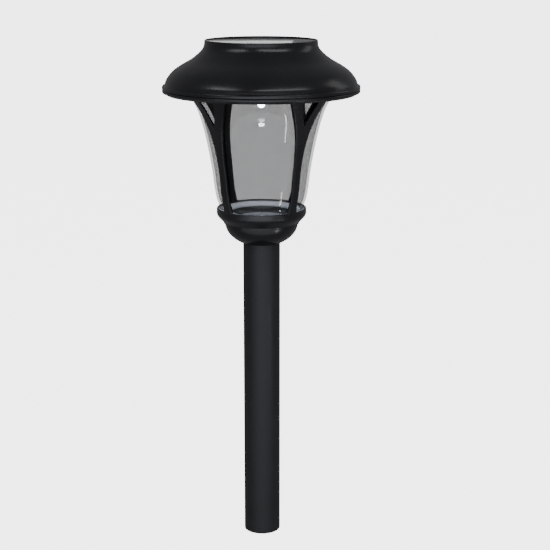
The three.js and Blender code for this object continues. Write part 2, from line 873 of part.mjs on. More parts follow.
function doorSolid() {
  const ear = block(
    doorScrewX - 2.4, doorScrewX + 2.4, doorY0 - 4.6, doorY0 + 1, doorFloor, plateZ - seat,
  );
  const panel = block(-doorX, doorX, doorY0, doorY1, doorFloor, plateTop - 0.6);
  const hole = moved(rod(smallScrewRadius + fit, plateZ - 3, plateZ + 1, 12), doorScrewX, doorScrewY);
  const grip = [];
  for (let i = 0; i < 4; i += 1) {
    const x = -doorX + 5 + 2.4 * i;
    grip.push(block(x, x + 1.2, batteryOffset - 4, batteryOffset + 4, doorFloor - 0.5, doorFloor + 0.1));
  }
  return joined(panel, ear, ...grip).subtract(hole);
}

place('battery_door', doorSolid(), finish.blackPlastic);

{
  const headHeight = 1;
  const upright = screw(smallScrewRadius, smallScrewHead, headHeight, 4).rotate([180, 0, 0]);
  place('door_screw', moved(upright, doorScrewX, doorScrewY, doorFloor - seat - headHeight), finish.steel);
}

// ---------------------------------------------------------------- circuit board and lamp

const leadX = 1.27;
const leadRadius = 0.3;
const ledFlangeZ = plateZ - ledDrop + 7.7;

function boardSolid() {
  const sheet = block(
    -boardLength / 2, boardLength / 2,
    -boardWidth / 2 - 1, boardWidth / 2 - 1,
    boardZ, boardZ + boardThickness,
  );
  const holes = [];
  for (const side of [-1, 1]) {
    holes.push(moved(rod(smallScrewRadius + fit, boardZ - 1, boardZ + 3, 12), side * postX, 0));
    holes.push(moved(rod(leadRadius + fit, boardZ - 1, boardZ + 3, 8), side * leadX, 0));
  }
  return lessEach(sheet, ...holes);
}

place('circuit_board', boardSolid(), finish.board);

for (const [name, side] of [['board_screw_1', -1], ['board_screw_2', 1]]) {
  const top = boardZ + boardThickness + seat + 1;
  const fastener = screw(smallScrewRadius, smallScrewHead, 1, boardThickness + 1.2);
  place(name, moved(fastener, side * postX, 0, top), finish.steel);
}

const boardTop = boardZ + boardThickness + seat;

place('control_chip', block(4, 9, -3.5, 0.5, boardTop, boardTop + 1.5), finish.rubber);
place('boost_coil', moved(rod(2.2, boardTop, boardTop + 4, 12), -7, -4), finish.innerPlastic);

function ledSolid() {
  const tip = plateZ - ledDrop;
  const profile = [P(0, tip)];
  for (let i = 1; i <= 5; i += 1) {
    const angle = (i * Math.PI) / 10;
    profile.push(P(ledRadius * Math.sin(angle), tip + ledRadius * (1 - Math.cos(angle))));
  }
  profile.push(P(ledRadius, ledFlangeZ));
  profile.push(P(ledRadius + 0.4, ledFlangeZ));
  profile.push(P(ledRadius + 0.4, ledFlangeZ + 1));
  profile.push(P(0, ledFlangeZ + 1));
  const lead = rod(leadRadius, ledFlangeZ + 0.5, boardZ + boardThickness + 0.8, 8);
  return joined(turned(profile, smallSteps), moved(lead, -leadX, 0), moved(lead, leadX, 0));
}

place('led_lamp', ledSolid(), finish.ledResin);

function bezelSolid() {
  // a stem that hangs from the plate and carries the lamp at its lower end
  const low = plateZ - bezelDrop;
  const bore = ledRadius + fit;
  const wide = ledRadius + 0.4 + fit;
  return turned(
    [
      P(bore, low),
      P(bezelRadius, low),
      P(bezelRadius + 0.9, plateZ - 3),
      P(bezelRadius + 3.4, plateZ - seat - 0.9),
      P(bezelRadius + 3.4, plateZ - seat),
      P(wide, plateZ - seat),
      P(wide, ledFlangeZ - seat),
      P(bore, ledFlangeZ - seat),
      P(bore, low),
    ],
    32,
  );
}

place('led_bezel', bezelSolid(), finish.innerPlastic);

// ---------------------------------------------------------------- switch

const knobFloor = plateTop + seat;

function switchBody() {
  const shell = block(-6, 6, -switchOffset - 3, -switchOffset + 3, knobFloor, knobFloor + 4.6);
  const slot = block(
    -knobSlot, knobSlot,
    -switchOffset - knobWidth / 2 - fit, -switchOffset + knobWidth / 2 + fit,
    knobFloor - 1, knobFloor + 2.4,
  );
  return shell.subtract(slot);
}

place('switch_body', switchBody(), finish.steel);

function knobSolid() {
  const left = -switchTravel / 2 - knobLength / 2;
  const right = left + knobLength;
  const y0 = -switchOffset - knobWidth / 2;
  const y1 = -switchOffset + knobWidth / 2;
  const stem = block(left, right, y0, y1, plateZ - 1.4, knobFloor + 2);
  const middle = (left + right) / 2;
  const groove = block(middle - 0.4, middle + 0.4, y0 - 1, y1 + 1, plateZ - 2, plateZ - 0.9);
  return stem.subtract(groove);
}

place('switch_knob', knobSolid(), finish.innerPlastic);

// ---------------------------------------------------------------- wires

const wireTop = deckZ - 2.6;
const solder = boardTop + wireRadius * 0.2;

place(
  'solar_wire_red',
  wire([
    [-1, -wireHoleOffset, deckZ - 0.6],
    [-1, -wireHoleOffset, wireTop - 2],
    [3.5, -10.5, wireTop - 9],
    [5, -7, solder + 5],
    [5, -7, solder],
  ]),
  finish.redWire,
);
place(
  'solar_wire_black',
  wire([
    [1.4, -wireHoleOffset - 1, deckZ - 0.6],
    [1.4, -wireHoleOffset - 1, wireTop - 2],
    [9, -12, wireTop - 9],
    [11, -7, solder + 5],
    [11, -7, solder],
  ]),
  finish.blackWire,
);
place(
  'battery_wire_red',
  wire([
    [boxX - boxWall - contactGap + 1.4, batteryOffset - 4, plateTop + boxHeight + 2.6],
    [24, doorY0 - 4, plateTop + boxHeight + 3.4],
    [16, 8, plateTop + boxHeight + 1],
    [12, 6, solder + 3],
    [12, 6, solder],
  ]),
  finish.redWire,
);
place(
  'battery_wire_black',
  wire([
    [-boxX + boxWall + contactGap - 1.4, batteryOffset - 4, plateTop + boxHeight + 2.6],
    [-24, doorY0 - 4, plateTop + boxHeight + 3.4],
    [-16, 8, plateTop + boxHeight + 1],
    [-12, 6, solder + 3],
    [-12, 6, solder],
  ]),
  finish.blackWire,
);

export default light;
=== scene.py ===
# %% [markdown]
# # A solar garden light
# A hat with a solar cell and the electronics stands on a clear lens in a cage of four forked
# ribs. Below come a bowl and a round pole, with the ground stake stowed inside.
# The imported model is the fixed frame: it gives the place and outer size of each piece, and
# the moving bodies. This lesson builds the finished surfaces around it, in metres.

import json
import math

import bmesh
import bpy
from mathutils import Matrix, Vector

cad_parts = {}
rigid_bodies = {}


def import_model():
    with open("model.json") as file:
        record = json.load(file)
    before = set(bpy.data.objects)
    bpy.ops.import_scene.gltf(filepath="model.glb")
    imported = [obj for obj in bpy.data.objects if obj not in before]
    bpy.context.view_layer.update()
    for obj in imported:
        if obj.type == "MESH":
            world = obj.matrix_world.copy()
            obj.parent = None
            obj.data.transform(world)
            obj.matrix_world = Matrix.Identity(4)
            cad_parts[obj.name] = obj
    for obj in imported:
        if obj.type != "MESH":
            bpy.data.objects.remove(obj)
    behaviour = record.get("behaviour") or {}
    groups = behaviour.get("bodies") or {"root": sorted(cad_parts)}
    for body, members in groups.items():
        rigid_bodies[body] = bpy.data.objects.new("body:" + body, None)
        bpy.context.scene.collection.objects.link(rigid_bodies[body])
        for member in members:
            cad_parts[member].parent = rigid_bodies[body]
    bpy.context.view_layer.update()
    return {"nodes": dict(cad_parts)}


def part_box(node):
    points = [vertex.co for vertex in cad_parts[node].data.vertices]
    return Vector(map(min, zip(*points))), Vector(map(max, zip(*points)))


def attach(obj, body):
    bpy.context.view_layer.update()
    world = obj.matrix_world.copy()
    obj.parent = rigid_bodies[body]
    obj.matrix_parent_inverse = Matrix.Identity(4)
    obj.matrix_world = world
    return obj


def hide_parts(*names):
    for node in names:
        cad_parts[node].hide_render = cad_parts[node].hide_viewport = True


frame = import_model()
nodes = frame["nodes"]
scene_objects = bpy.context.scene.collection.objects
MM = 0.001

# %% [markdown]
# ## Sizes
# The frame says where each piece is. What it can't say, such as a wall or a clearance, is
# named here once, in millimetres, as it is in the design.

# %% Read the levels from the frame


def low_z(node):
    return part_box(node)[0].z / MM


def high_z(node):
    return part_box(node)[1].z / MM


def radius_of(node):
    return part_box(node)[1].x / MM


# Gaps: a loose fit all round, and the hair under a piece that sits on another
FIT = 0.3
SEAT = 0.1
# The cage's two rings
BASE_RING_HEIGHT = 10.9
TOP_RING_HEIGHT = 3.2
# The lens: the radius of its foot and the width of its lip
LENS_FOOT_R = 29.1
LENS_LIP = 3.6
# Walls and floors
POLE_WALL = 1
BOWL_WALL = 1.6
LENS_WALL = 1.6
CUP_WALL = 1.2
CUP_FLOOR = 2
HAT_WALL = 1.8
HAT_DECK = 1.6
HAT_RIM_WALL = 1.4

pole_r = radius_of("pole")
pole_top = high_z("pole")
ring_low = low_z("cage")
ring_top = ring_low + BASE_RING_HEIGHT
top_ring_high = high_z("cage")
top_ring_low = top_ring_high - TOP_RING_HEIGHT
foot_z = low_z("lens")
lens_top = high_z("lens")
foot_r = LENS_FOOT_R
mouth_r = radius_of("lens") - LENS_LIP
flange_z = low_z("base_plate")
hat_low = low_z("hat_shell")
hat_top = high_z("hat_shell")
hat_r = radius_of("hat_shell")
rim_r = radius_of("solar_window") + FIT + HAT_RIM_WALL
deck_z = low_z("cell_backing") - SEAT
plate_z = high_z("led_bezel") + SEAT
print("hat", round(2 * hat_r, 1), "mm across,", round(hat_top, 1), "mm high")

# %% [markdown]
# ## Camera, light and floor
# A long lens from a little above gives the calm view of a shop picture. Two soft lights in
# front, a low one and light thrown up from the floor show the black plastic's shape by long
# highlights and not by hard spots. A side light and a card behind pick out its edges, and a
# narrow strip draws one bright line down the clear lens. The floor and the dome round it glow
# by themselves, so that the ground stays pale and even.

# %% Set up the camera
camera_data = bpy.data.cameras.new("camera")
camera_data.sensor_width = 36
camera_data.lens = 87.28
camera = bpy.data.objects.new("camera", camera_data)
camera.location = (0, -0.896, 0.409)
camera_tilt = math.radians(76.14)
camera_turn = math.radians(-0.5887)
camera.rotation_euler = (camera_tilt, 0, camera_turn)
scene_objects.link(camera)
bpy.context.scene.camera = camera
print("camera", tuple(round(v, 3) for v in camera.location))

# %% Set up the studio


def area_light(name, place, aim, size, power, tint=(1, 1, 1)):
    """A soft rectangle of light that the camera doesn't see."""
    data = bpy.data.lights.new(name, "AREA")
    data.shape = "RECTANGLE"
    data.size, data.size_y = size
    data.energy = power
    data.color = tint
    lamp = bpy.data.objects.new(name, data)
    lamp.location = place
    lamp.rotation_euler = (Vector(aim) - Vector(place)).to_track_quat("-Z", "Y").to_euler()
    lamp.visible_camera = False
    scene_objects.link(lamp)


COOL = (0.93, 0.96, 1)
COOLER = (0.9, 0.94, 1)
area_light("front left", (-0.93, -0.73, 1.22), (0, 0, 0.3), (0.8, 0.4), 3.2, COOL)
area_light("front right", (0.54, -1.05, 1.22), (0, 0, 0.3), (1.5, 0.4), 5.8, COOL)
area_light("low front", (-0.1, -1.9, 0.12), (0, 0, 0.15), (2.2, 1.0), 7.0, COOLER)
area_light("floor bounce", (0, -0.85, 0.015), (0, -0.5, 0.4), (2.4, 1.1), 5.0, COOLER)
area_light("right strip", (0.199, -0.167, 0.1), (0, 0, 0.27), (0.009, 0.08), 0.045)
area_light("right side", (1.3, 0.45, 0.85), (0, 0, 0.3), (0.5, 0.9), 1.2)
area_light("back card", (-0.03, 1.6, 0.75), (0, 0, 0.34), (0.2, 0.55), 0.3)


def fill(node, **values):
    """Sets a node's inputs by name, with _ for each space."""
    for name, value in values.items():
        node.inputs[name.replace("_", " ")].default_value = value


world = bpy.data.worlds.new("studio")
world.use_nodes = True
sky = world.node_tree.nodes["Background"]
fill(sky, Color=(0.97, 0.985, 1, 1), Strength=0.2)
bpy.context.scene.world = world


def new_material(name):
    """A material with its node tree and the shader that the tree starts with."""
    material = bpy.data.materials.new(name)
    material.use_nodes = True
    tree = material.node_tree
    return material, tree, tree.nodes["Principled BSDF"]


def paper_white(name, glow):
    """White paper lit from below, so that it stays pale behind a black object."""
    material, _, shader = new_material(name)
    fill(shader, Base_Color=(0.9, 0.9, 0.9, 1), Roughness=0.9)
    fill(shader, Emission_Color=(1, 1, 1, 1), Emission_Strength=glow)
    return material


def stage_piece(name, mesh, material):
    """A backdrop that is seen, but puts no light or mirror image on the object."""
    piece = bpy.data.objects.new(name, mesh)
    piece.data.materials.append(material)
    piece.visible_diffuse = False
    piece.visible_glossy = False
    scene_objects.link(piece)


# The floor's half width and the dome's radius, in metres
reach = 40.0
floor_corners = [(-reach, -reach, 0), (reach, -reach, 0), (reach, reach, 0), (-reach, reach, 0)]
floor_mesh = bpy.data.meshes.new("floor")
floor_mesh.from_pydata(floor_corners, [], [(0, 1, 2, 3)])
stage_piece("floor", floor_mesh, paper_white("floor_paper", 4.0))
dome_mesh = bpy.data.meshes.new("backdrop")
dome_work = bmesh.new()
bmesh.ops.create_icosphere(dome_work, subdivisions=3, radius=reach)
dome_work.to_mesh(dome_mesh)
dome_work.free()
stage_piece("backdrop", dome_mesh, paper_white("backdrop_paper", 4.2))

# %% [markdown]
# ## Finishes
# Each finish is a small node tree. Moulded plastic isn't one flat black: its gloss changes
# slowly over the surface, and a fine grain from the mould breaks up the highlights. So most
# finishes share one recipe, with a slow noise for colour and gloss and a fine one for bump.

# %% Helpers for node trees


def add_node(tree, kind, **settings):
    """A node with its settings, such as a math node's operation."""
    node = tree.nodes.new(kind)
    for key, value in settings.items():
        setattr(node, key, value)
    return node


def object_noise(tree, scale, detail=3.0, stretch=(1, 1, 1)):
    """A noise on the piece's own coordinates; stretch makes it run along an axis."""
    place = tree.nodes.new("ShaderNodeTexCoord")
    turn = tree.nodes.new("ShaderNodeMapping")
    fill(turn, Scale=stretch)
    noise = tree.nodes.new("ShaderNodeTexNoise")
    fill(noise, Scale=scale, Detail=detail)
    tree.links.new(place.outputs["Object"], turn.inputs["Vector"])
    tree.links.new(turn.outputs["Vector"], noise.inputs["Vector"])
    return noise


def spread(tree, value, low, high):
    """Maps a noise from its usual 0.3 to 0.7 onto low to high."""
    ranged = tree.nodes.new("ShaderNodeMapRange")
    fill(ranged, From_Min=0.3, From_Max=0.7, To_Min=low, To_Max=high)
    tree.links.new(value, ranged.inputs["Value"])
    return ranged.outputs["Result"]


def two_tone(tree, value, dark, light):
    """Colours a noise from dark to light over its middle values."""
    ramp = tree.nodes.new("ShaderNodeValToRGB")
    ramp.color_ramp.elements[0].position = 0.35
    ramp.color_ramp.elements[1].position = 0.65
    ramp.color_ramp.elements[0].color = (*dark, 1)
    ramp.color_ramp.elements[1].color = (*light, 1)
    tree.links.new(value, ramp.inputs["Fac"])
    return ramp.outputs["Color"]


def grain(tree, shader, height, depth):
    """A fine bump, depth metres deep."""
    bump = tree.nodes.new("ShaderNodeBump")
    fill(bump, Strength=0.5, Distance=depth)
    tree.links.new(height, bump.inputs["Height"])
    tree.links.new(bump.outputs["Normal"], shader.inputs["Normal"])


def surface(name, dark, light, gloss, slow=40.0, fine=2600.0, depth=0.00004, **sockets):
    """The shared recipe: two tones and a range of roughness on a slow noise, with a fine bump."""
    material, tree, shader = new_material(name)
    fill(shader, **sockets)
    cloud = object_noise(tree, slow)
    tree.links.new(two_tone(tree, cloud.outputs["Fac"], dark, light), shader.inputs["Base Color"])
    tree.links.new(spread(tree, cloud.outputs["Fac"], *gloss), shader.inputs["Roughness"])
    grain(tree, shader, object_noise(tree, fine, 2.0).outputs["Fac"], depth)
    return material


print("helpers for noise, tones, grain and the shared recipe")

# %% Opaque finishes
RECIPES = {
    "black_plastic": dict(
        dark=(0.0085, 0.0088, 0.0105), light=(0.0115, 0.012, 0.014), gloss=(0.2, 0.3),
        Specular_IOR_Level=0.5,
    ),
    "pole_paint": dict(
        dark=(0.013, 0.0135, 0.016), light=(0.017, 0.0175, 0.02), gloss=(0.45, 0.57),
        slow=70, fine=1500, depth=0.00006, Specular_IOR_Level=0.4,
    ),
    "inner_plastic": dict(
        dark=(0.012, 0.0125, 0.014), light=(0.02, 0.021, 0.023), gloss=(0.5, 0.65), fine=1800,
    ),
    "reflector_grey": dict(
        dark=(0.55, 0.56, 0.58), light=(0.64, 0.65, 0.67), gloss=(0.22, 0.34), Metallic=0.7,
    ),
    "reflector_pale": dict(
        dark=(0.5, 0.51, 0.52), light=(0.58, 0.59, 0.6), gloss=(0.3, 0.42), Metallic=0.2,
    ),
    "backing_card": dict(
        dark=(0.55, 0.53, 0.48), light=(0.64, 0.62, 0.57), gloss=(0.7, 0.85),
        fine=900, depth=0.00008,
    ),
    "rubber_black": dict(
        dark=(0.006, 0.006, 0.006), light=(0.011, 0.011, 0.011), gloss=(0.7, 0.85), fine=1200,
    ),
    "steel_plated": dict(
        dark=(0.5, 0.51, 0.53), light=(0.62, 0.63, 0.65), gloss=(0.22, 0.4),
        slow=300, Metallic=1.0,
    ),
    "stake_plastic": dict(
        dark=(0.009, 0.0095, 0.01), light=(0.015, 0.0155, 0.017), gloss=(0.45, 0.6),
        slow=60, fine=1300, depth=0.0001,
    ),
    "wire_red": dict(
        dark=(0.3, 0.012, 0.01), light=(0.38, 0.02, 0.016), gloss=(0.35, 0.5), slow=400,
    ),
    "wire_black": dict(
        dark=(0.006, 0.006, 0.006), light=(0.01, 0.01, 0.01), gloss=(0.35, 0.5), slow=400,
    ),
}
LOOK = {name: surface(name, **recipe) for name, recipe in RECIPES.items()}
print(len(LOOK), "opaque finishes")

# %% [markdown]
# The battery's sleeve has a band of a second colour, and the circuit board shows its copper
# tracks through the green varnish. Both patterns are worked out from the piece's own place.

# %% Battery sleeve and circuit board


def banded(name, base, band, start, end, gloss):
    """A film with a second colour between two places along X, in metres."""
    material = surface(name, base, tuple(v * 1.12 for v in base), gloss, slow=120)
    tree = material.node_tree
    link = tree.links.new
    shader = tree.nodes["Principled BSDF"]
    base_colour = shader.inputs["Base Color"].links[0].from_socket
    place = tree.nodes.new("ShaderNodeTexCoord")
    split = tree.nodes.new("ShaderNodeSeparateXYZ")
    link(place.outputs["Object"], split.inputs["Vector"])
    above = add_node(tree, "ShaderNodeMath", operation="GREATER_THAN")
    above.inputs[1].default_value = start
    below = add_node(tree, "ShaderNodeMath", operation="LESS_THAN")
    below.inputs[1].default_value = end
    both = add_node(tree, "ShaderNodeMath", operation="MULTIPLY")
    link(split.outputs["X"], above.inputs[0])
    link(split.outputs["X"], below.inputs[0])
    link(above.outputs["Value"], both.inputs[0])
    link(below.outputs["Value"], both.inputs[1])
    mix = add_node(tree, "ShaderNodeMix", data_type="RGBA")
    fill(mix, B=(*band, 1))
    link(both.outputs["Value"], mix.inputs["Factor"])
    link(base_colour, mix.inputs["A"])
    link(mix.outputs["Result"], shader.inputs["Base Color"])
    return material


def circuit_varnish():
    """Green varnish with straight tracks, drawn by a brick pattern."""
    material = surface("board_green", (0.012, 0.09, 0.035), (0.016, 0.11, 0.045), (0.3, 0.42))
    tree = material.node_tree
    shader = tree.nodes["Principled BSDF"]
    base_colour = shader.inputs["Base Color"].links[0].from_socket
    place = tree.nodes.new("ShaderNodeTexCoord")
    tracks = tree.nodes.new("ShaderNodeTexBrick")
    fill(tracks, Scale=260, Mortar_Size=0.035)
    fill(tracks, Color2=(0.03, 0.2, 0.08, 1), Mortar=(0.05, 0.26, 0.11, 1))
    tree.links.new(place.outputs["Object"], tracks.inputs["Vector"])
    tree.links.new(base_colour, tracks.inputs["Color1"])
    tree.links.new(tracks.outputs["Color"], shader.inputs["Base Color"])
    return material


SLEEVE_GREEN = (0.03, 0.21, 0.08)
SLEEVE_GREY = (0.55, 0.56, 0.58)
LOOK["battery_wrap"] = banded(
    "battery_wrap", SLEEVE_GREEN, SLEEVE_GREY, start=0.012, end=0.023, gloss=(0.25, 0.4)
)
LOOK["board_green"] = circuit_varnish()
print("patterned finishes: battery_wrap, board_green")

# %% [markdown]
# ## Clear and solar finishes
# Smoky clear plastic takes away a share of the light at each face and mirrors a little of the
# room, more so at a glancing angle. A see-through shader is mixed with a glossy one by how far
# the face turns away, and light from the lamps still comes through it without noise.

# %% Lens, window and lamp


def clear(name, through, roughness, face_mirror, edge_mirror, slow=30.0):
    """A clear wall: tinted see-through, and a mirror that grows towards the edges."""
    material, tree, shader = new_material(name)
    link = tree.links.new
    tree.nodes.remove(shader)
    see = tree.nodes.new("ShaderNodeBsdfTransparent")
    fill(see, Color=(*through, 1))
    mirror = tree.nodes.new("ShaderNodeBsdfGlossy")
    fill(mirror, Roughness=roughness, Color=(1, 1, 1, 1))
    bump = tree.nodes.new("ShaderNodeBump")
    fill(bump, Strength=0.25, Distance=0.00001)
    wave = object_noise(tree, slow, 2.0, (1, 1, 0.35))
    link(wave.outputs["Fac"], bump.inputs["Height"])
    edge = tree.nodes.new("ShaderNodeLayerWeight")
    # The power holds the mirror back until the face has turned far away
    steep = add_node(tree, "ShaderNodeMath", operation="POWER")
    steep.inputs[1].default_value = 4.5
    share = add_node(tree, "ShaderNodeMath", operation="MULTIPLY_ADD")
    share.inputs[1].default_value = edge_mirror - face_mirror
    share.inputs[2].default_value = face_mirror
    mix = tree.nodes.new("ShaderNodeMixShader")
    link(bump.outputs["Normal"], mirror.inputs["Normal"])
    link(bump.outputs["Normal"], edge.inputs["Normal"])
    link(edge.outputs["Facing"], steep.inputs[0])
    link(steep.outputs["Value"], share.inputs[0])
    link(share.outputs["Value"], mix.inputs["Fac"])
    link(see.outputs["BSDF"], mix.inputs[1])
    link(mirror.outputs["BSDF"], mix.inputs[2])
    link(mix.outputs["Shader"], tree.nodes["Material Output"].inputs["Surface"])
    return material


def silicon():
    """Blue-black crystal flakes, each a slightly different shade, under a smooth skin."""
    material, tree, shader = new_material("silicon")
    place = tree.nodes.new("ShaderNodeTexCoord")
    flakes = tree.nodes.new("ShaderNodeTexVoronoi")
    fill(flakes, Scale=220)
    split = tree.nodes.new("ShaderNodeSeparateColor")
    tree.links.new(place.outputs["Object"], flakes.inputs["Vector"])
    tree.links.new(flakes.outputs["Color"], split.inputs["Color"])
    shade = two_tone(tree, split.outputs["Red"], (0.008, 0.012, 0.035), (0.018, 0.03, 0.085))
    tree.links.new(shade, shader.inputs["Base Color"])
    tree.links.new(spread(tree, split.outputs["Green"], 0.18, 0.34), shader.inputs["Roughness"])
    fill(shader, Metallic=0.4)
    return material


def lamp_resin():
    """Clear epoxy over a bright chip: the glow is strongest at the rounded tip."""
    material = surface(
        "led_resin", (0.75, 0.78, 0.82), (0.85, 0.87, 0.9), (0.05, 0.12), depth=0.000005
    )
    tree = material.node_tree
    shader = tree.nodes["Principled BSDF"]
    fill(shader, Emission_Color=(0.86, 0.93, 1, 1))
    place = tree.nodes.new("ShaderNodeTexCoord")
    split = tree.nodes.new("ShaderNodeSeparateXYZ")
    glow = tree.nodes.new("ShaderNodeMapRange")
    # The glow fades over this height above the tip, in millimetres
    glow_height = 6
    tip = low_z("led_lamp")
    fill(glow, From_Min=(tip + glow_height) * MM, From_Max=tip * MM, To_Min=0.3, To_Max=70)
    tree.links.new(place.outputs["Object"], split.inputs["Vector"])
    tree.links.new(split.outputs["Z"], glow.inputs["Value"])
    tree.links.new(glow.outputs["Result"], shader.inputs["Emission Strength"])
    return material


LOOK["lens_clear"] = clear(
    "lens_clear", (0.54, 0.542, 0.542), roughness=0.025, face_mirror=0.035, edge_mirror=0.3
)
LOOK["solar_glass"] = clear(
    "solar_glass", (0.9, 0.92, 0.93), roughness=0.06, face_mirror=0.04, edge_mirror=0.9, slow=60.0
)
LOOK["silicon"] = silicon()
LOOK["led_resin"] = lamp_resin()
print(len(LOOK), "finishes in all")

# %% [markdown]
# ## Tools for turned pieces
# Most of this light is round, and would be moulded or spun. One outline turned about the axis
# makes each such piece. Real edges are never sharp, so the outline's corners are rounded first:
# it is the small radius that catches the light.

# %% Outlines


def rounded(corners, steps=5):
    """Corners (r, z) or (r, z, radius) to an outline, with its corners eased by that radius."""
    outline = []
    count = len(corners)
    for i, corner in enumerate(corners):
        here = Vector(corner[:2])
        before = Vector(corners[i - 1][:2]) - here
        after = Vector(corners[(i + 1) % count][:2]) - here
        if len(corner) < 3 or before.length < 1e-6 or after.length < 1e-6:
            outline.append(here)
            continue
        half = before.angle(after) / 2
        cut = min(corner[2] / math.tan(half), before.length * 0.49, after.length * 0.49)
        start = here + before.normalized() * cut
        end = here + after.normalized() * cut
        for k in range(steps + 1):
            share = k / steps
            first = start.lerp(here, share)
            second = here.lerp(end, share)
            outline.append(first.lerp(second, share))
    return outline


def flowing(points, steps):
    """An even Catmull-Rom curve through the points."""
    vectors = [Vector(p) for p in points]
    last = len(vectors) - 1
    curve = []
    for i in range(steps + 1):
        at = i / steps * last
        k = min(int(at), last - 1)
        t = at - k
        p0, p1, p2, p3 = (vectors[max(0, min(last, k + j))] for j in (-1, 0, 1, 2))
        v0 = (p2 - p0) / 2
        v1 = (p3 - p1) / 2
        cubic = 2 * p1 - 2 * p2 + v0 + v1
        square = 3 * p2 - 3 * p1 - 2 * v0 - v1
        curve.append(cubic * t**3 + square * t**2 + v0 * t + p1)
    return curve


def beside(curve, distance):
    """A line beside one that runs upwards; a positive distance lies outside it."""
    moved = []
    for i, here in enumerate(curve):
        along = (curve[min(i + 1, len(curve) - 1)] - curve[max(i - 1, 0)]).normalized()
        moved.append(Vector((here.x + along.y * distance, here.y - along.x * distance)))
    return moved


def radius_at(curve, z):
    """The radius of a line that runs upwards, at a height."""
    for a, b in zip(curve, curve[1:]):
        if a.y <= z <= b.y:
            return a.x + (b.x - a.x) * (z - a.y) / max(b.y - a.y, 1e-9)
    return curve[0].x if z < curve[0].y else curve[-1].x


print("outline tools: rounded, flowing, beside and radius_at")

# %% Meshes from outlines


def smooth(mesh, sharp=38):
    """Shades a mesh smooth, except across edges that bend by more than so many degrees."""
    mesh.shade_smooth()
    mesh.set_sharp_from_angle(angle=math.radians(sharp))


def finish_mesh(mesh):
    """Welds a mesh, turns its faces outwards and keeps only the true edges sharp."""
    work = bmesh.new()
    work.from_mesh(mesh)
    bmesh.ops.remove_doubles(work, verts=work.verts, dist=1e-7)
    bmesh.ops.dissolve_degenerate(work, edges=work.edges, dist=1e-8)
    bmesh.ops.recalc_face_normals(work, faces=work.faces)
    work.to_mesh(mesh)
    work.free()
    smooth(mesh)


def new_piece(name, mesh, look):
    """A new object in the scene, with one finish."""
    piece = bpy.data.objects.new(name, mesh)
    mesh.materials.clear()
    mesh.materials.append(LOOK[look])
    scene_objects.link(piece)
    return piece


def turned_mesh(name, outline, steps=128):
    """Turns a closed outline in millimetres about Z; points on the axis become poles."""
    verts = []
    rows = []
    for r, z in outline:
        if r < 1e-6:
            rows.append([len(verts)] * steps)
            verts.append((0, 0, z * MM))
            continue
        rows.append(list(range(len(verts), len(verts) + steps)))
        for k in range(steps):
            angle = 2 * math.pi * k / steps
            verts.append((r * math.cos(angle) * MM, r * math.sin(angle) * MM, z * MM))
    faces = []
    for low, high in zip(rows, rows[1:] + rows[:1]):
        for k in range(steps):
            ring = [low[k], low[(k + 1) % steps], high[(k + 1) % steps], high[k]]
            corners = list(dict.fromkeys(ring))
            if len(corners) > 2:
                faces.append(corners)
    mesh = bpy.data.meshes.new(name)
    mesh.from_pydata(verts, [], faces)
    finish_mesh(mesh)
    return mesh


def turned(name, corners, look, body, replaced, steps=128, slot=None):
    """A turned piece that rides on a body and stands for its CAD nodes."""
    piece = new_piece(name, turned_mesh(name, rounded(corners), steps), look)
    settle(piece, body, slot or look, *replaced)


def settle(piece, body, slot_name, *replaced):
    """Says which body a piece rides and the CAD nodes it stands for; its slot name is not used.
    """
    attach(piece, body)
    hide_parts(*replaced)
    triangles = sum(len(p.vertices) - 2 for p in piece.data.polygons)
    print(piece.name, "on", body, "with", triangles, "triangles")


print("mesh tools: smooth, turned_mesh, turned and settle")

# %% [markdown]
# ## A Geometry Nodes tree that repeats round the axis
# Ribs and screws repeat at even angles. One tree makes both: it takes the piece's own mesh,
# puts a copy on each point of a list, and turns each copy by its number. Its inputs are the
# count, the first angle, the step and the finish, so a change of design is a change of number.

# %% The round repeat


def open_tree(name, inputs):
    """A tree with named inputs beside its geometry, and the key of each input."""
    tree = bpy.data.node_groups.new(name, "GeometryNodeTree")
    face = tree.interface
    face.new_socket("Geometry", in_out="INPUT", socket_type="NodeSocketGeometry")
    keys = {}
    for label, kind in inputs.items():
        socket = face.new_socket(label, in_out="INPUT", socket_type="NodeSocket" + kind)
        keys[label] = socket.identifier
    face.new_socket("Geometry", in_out="OUTPUT", socket_type="NodeSocketGeometry")
    return tree, keys


def close_tree(tree, source, copies):
    """Makes a tree's copies real, gives them their finish and puts them out."""
    solid = tree.nodes.new("GeometryNodeRealizeInstances")
    dress = tree.nodes.new("GeometryNodeSetMaterial")
    result = tree.nodes.new("NodeGroupOutput")
    tree.links.new(copies.outputs["Instances"], solid.inputs["Geometry"])
    tree.links.new(solid.outputs["Geometry"], dress.inputs["Geometry"])
    tree.links.new(source.outputs["Finish"], dress.inputs["Material"])
    tree.links.new(dress.outputs["Geometry"], result.inputs["Geometry"])


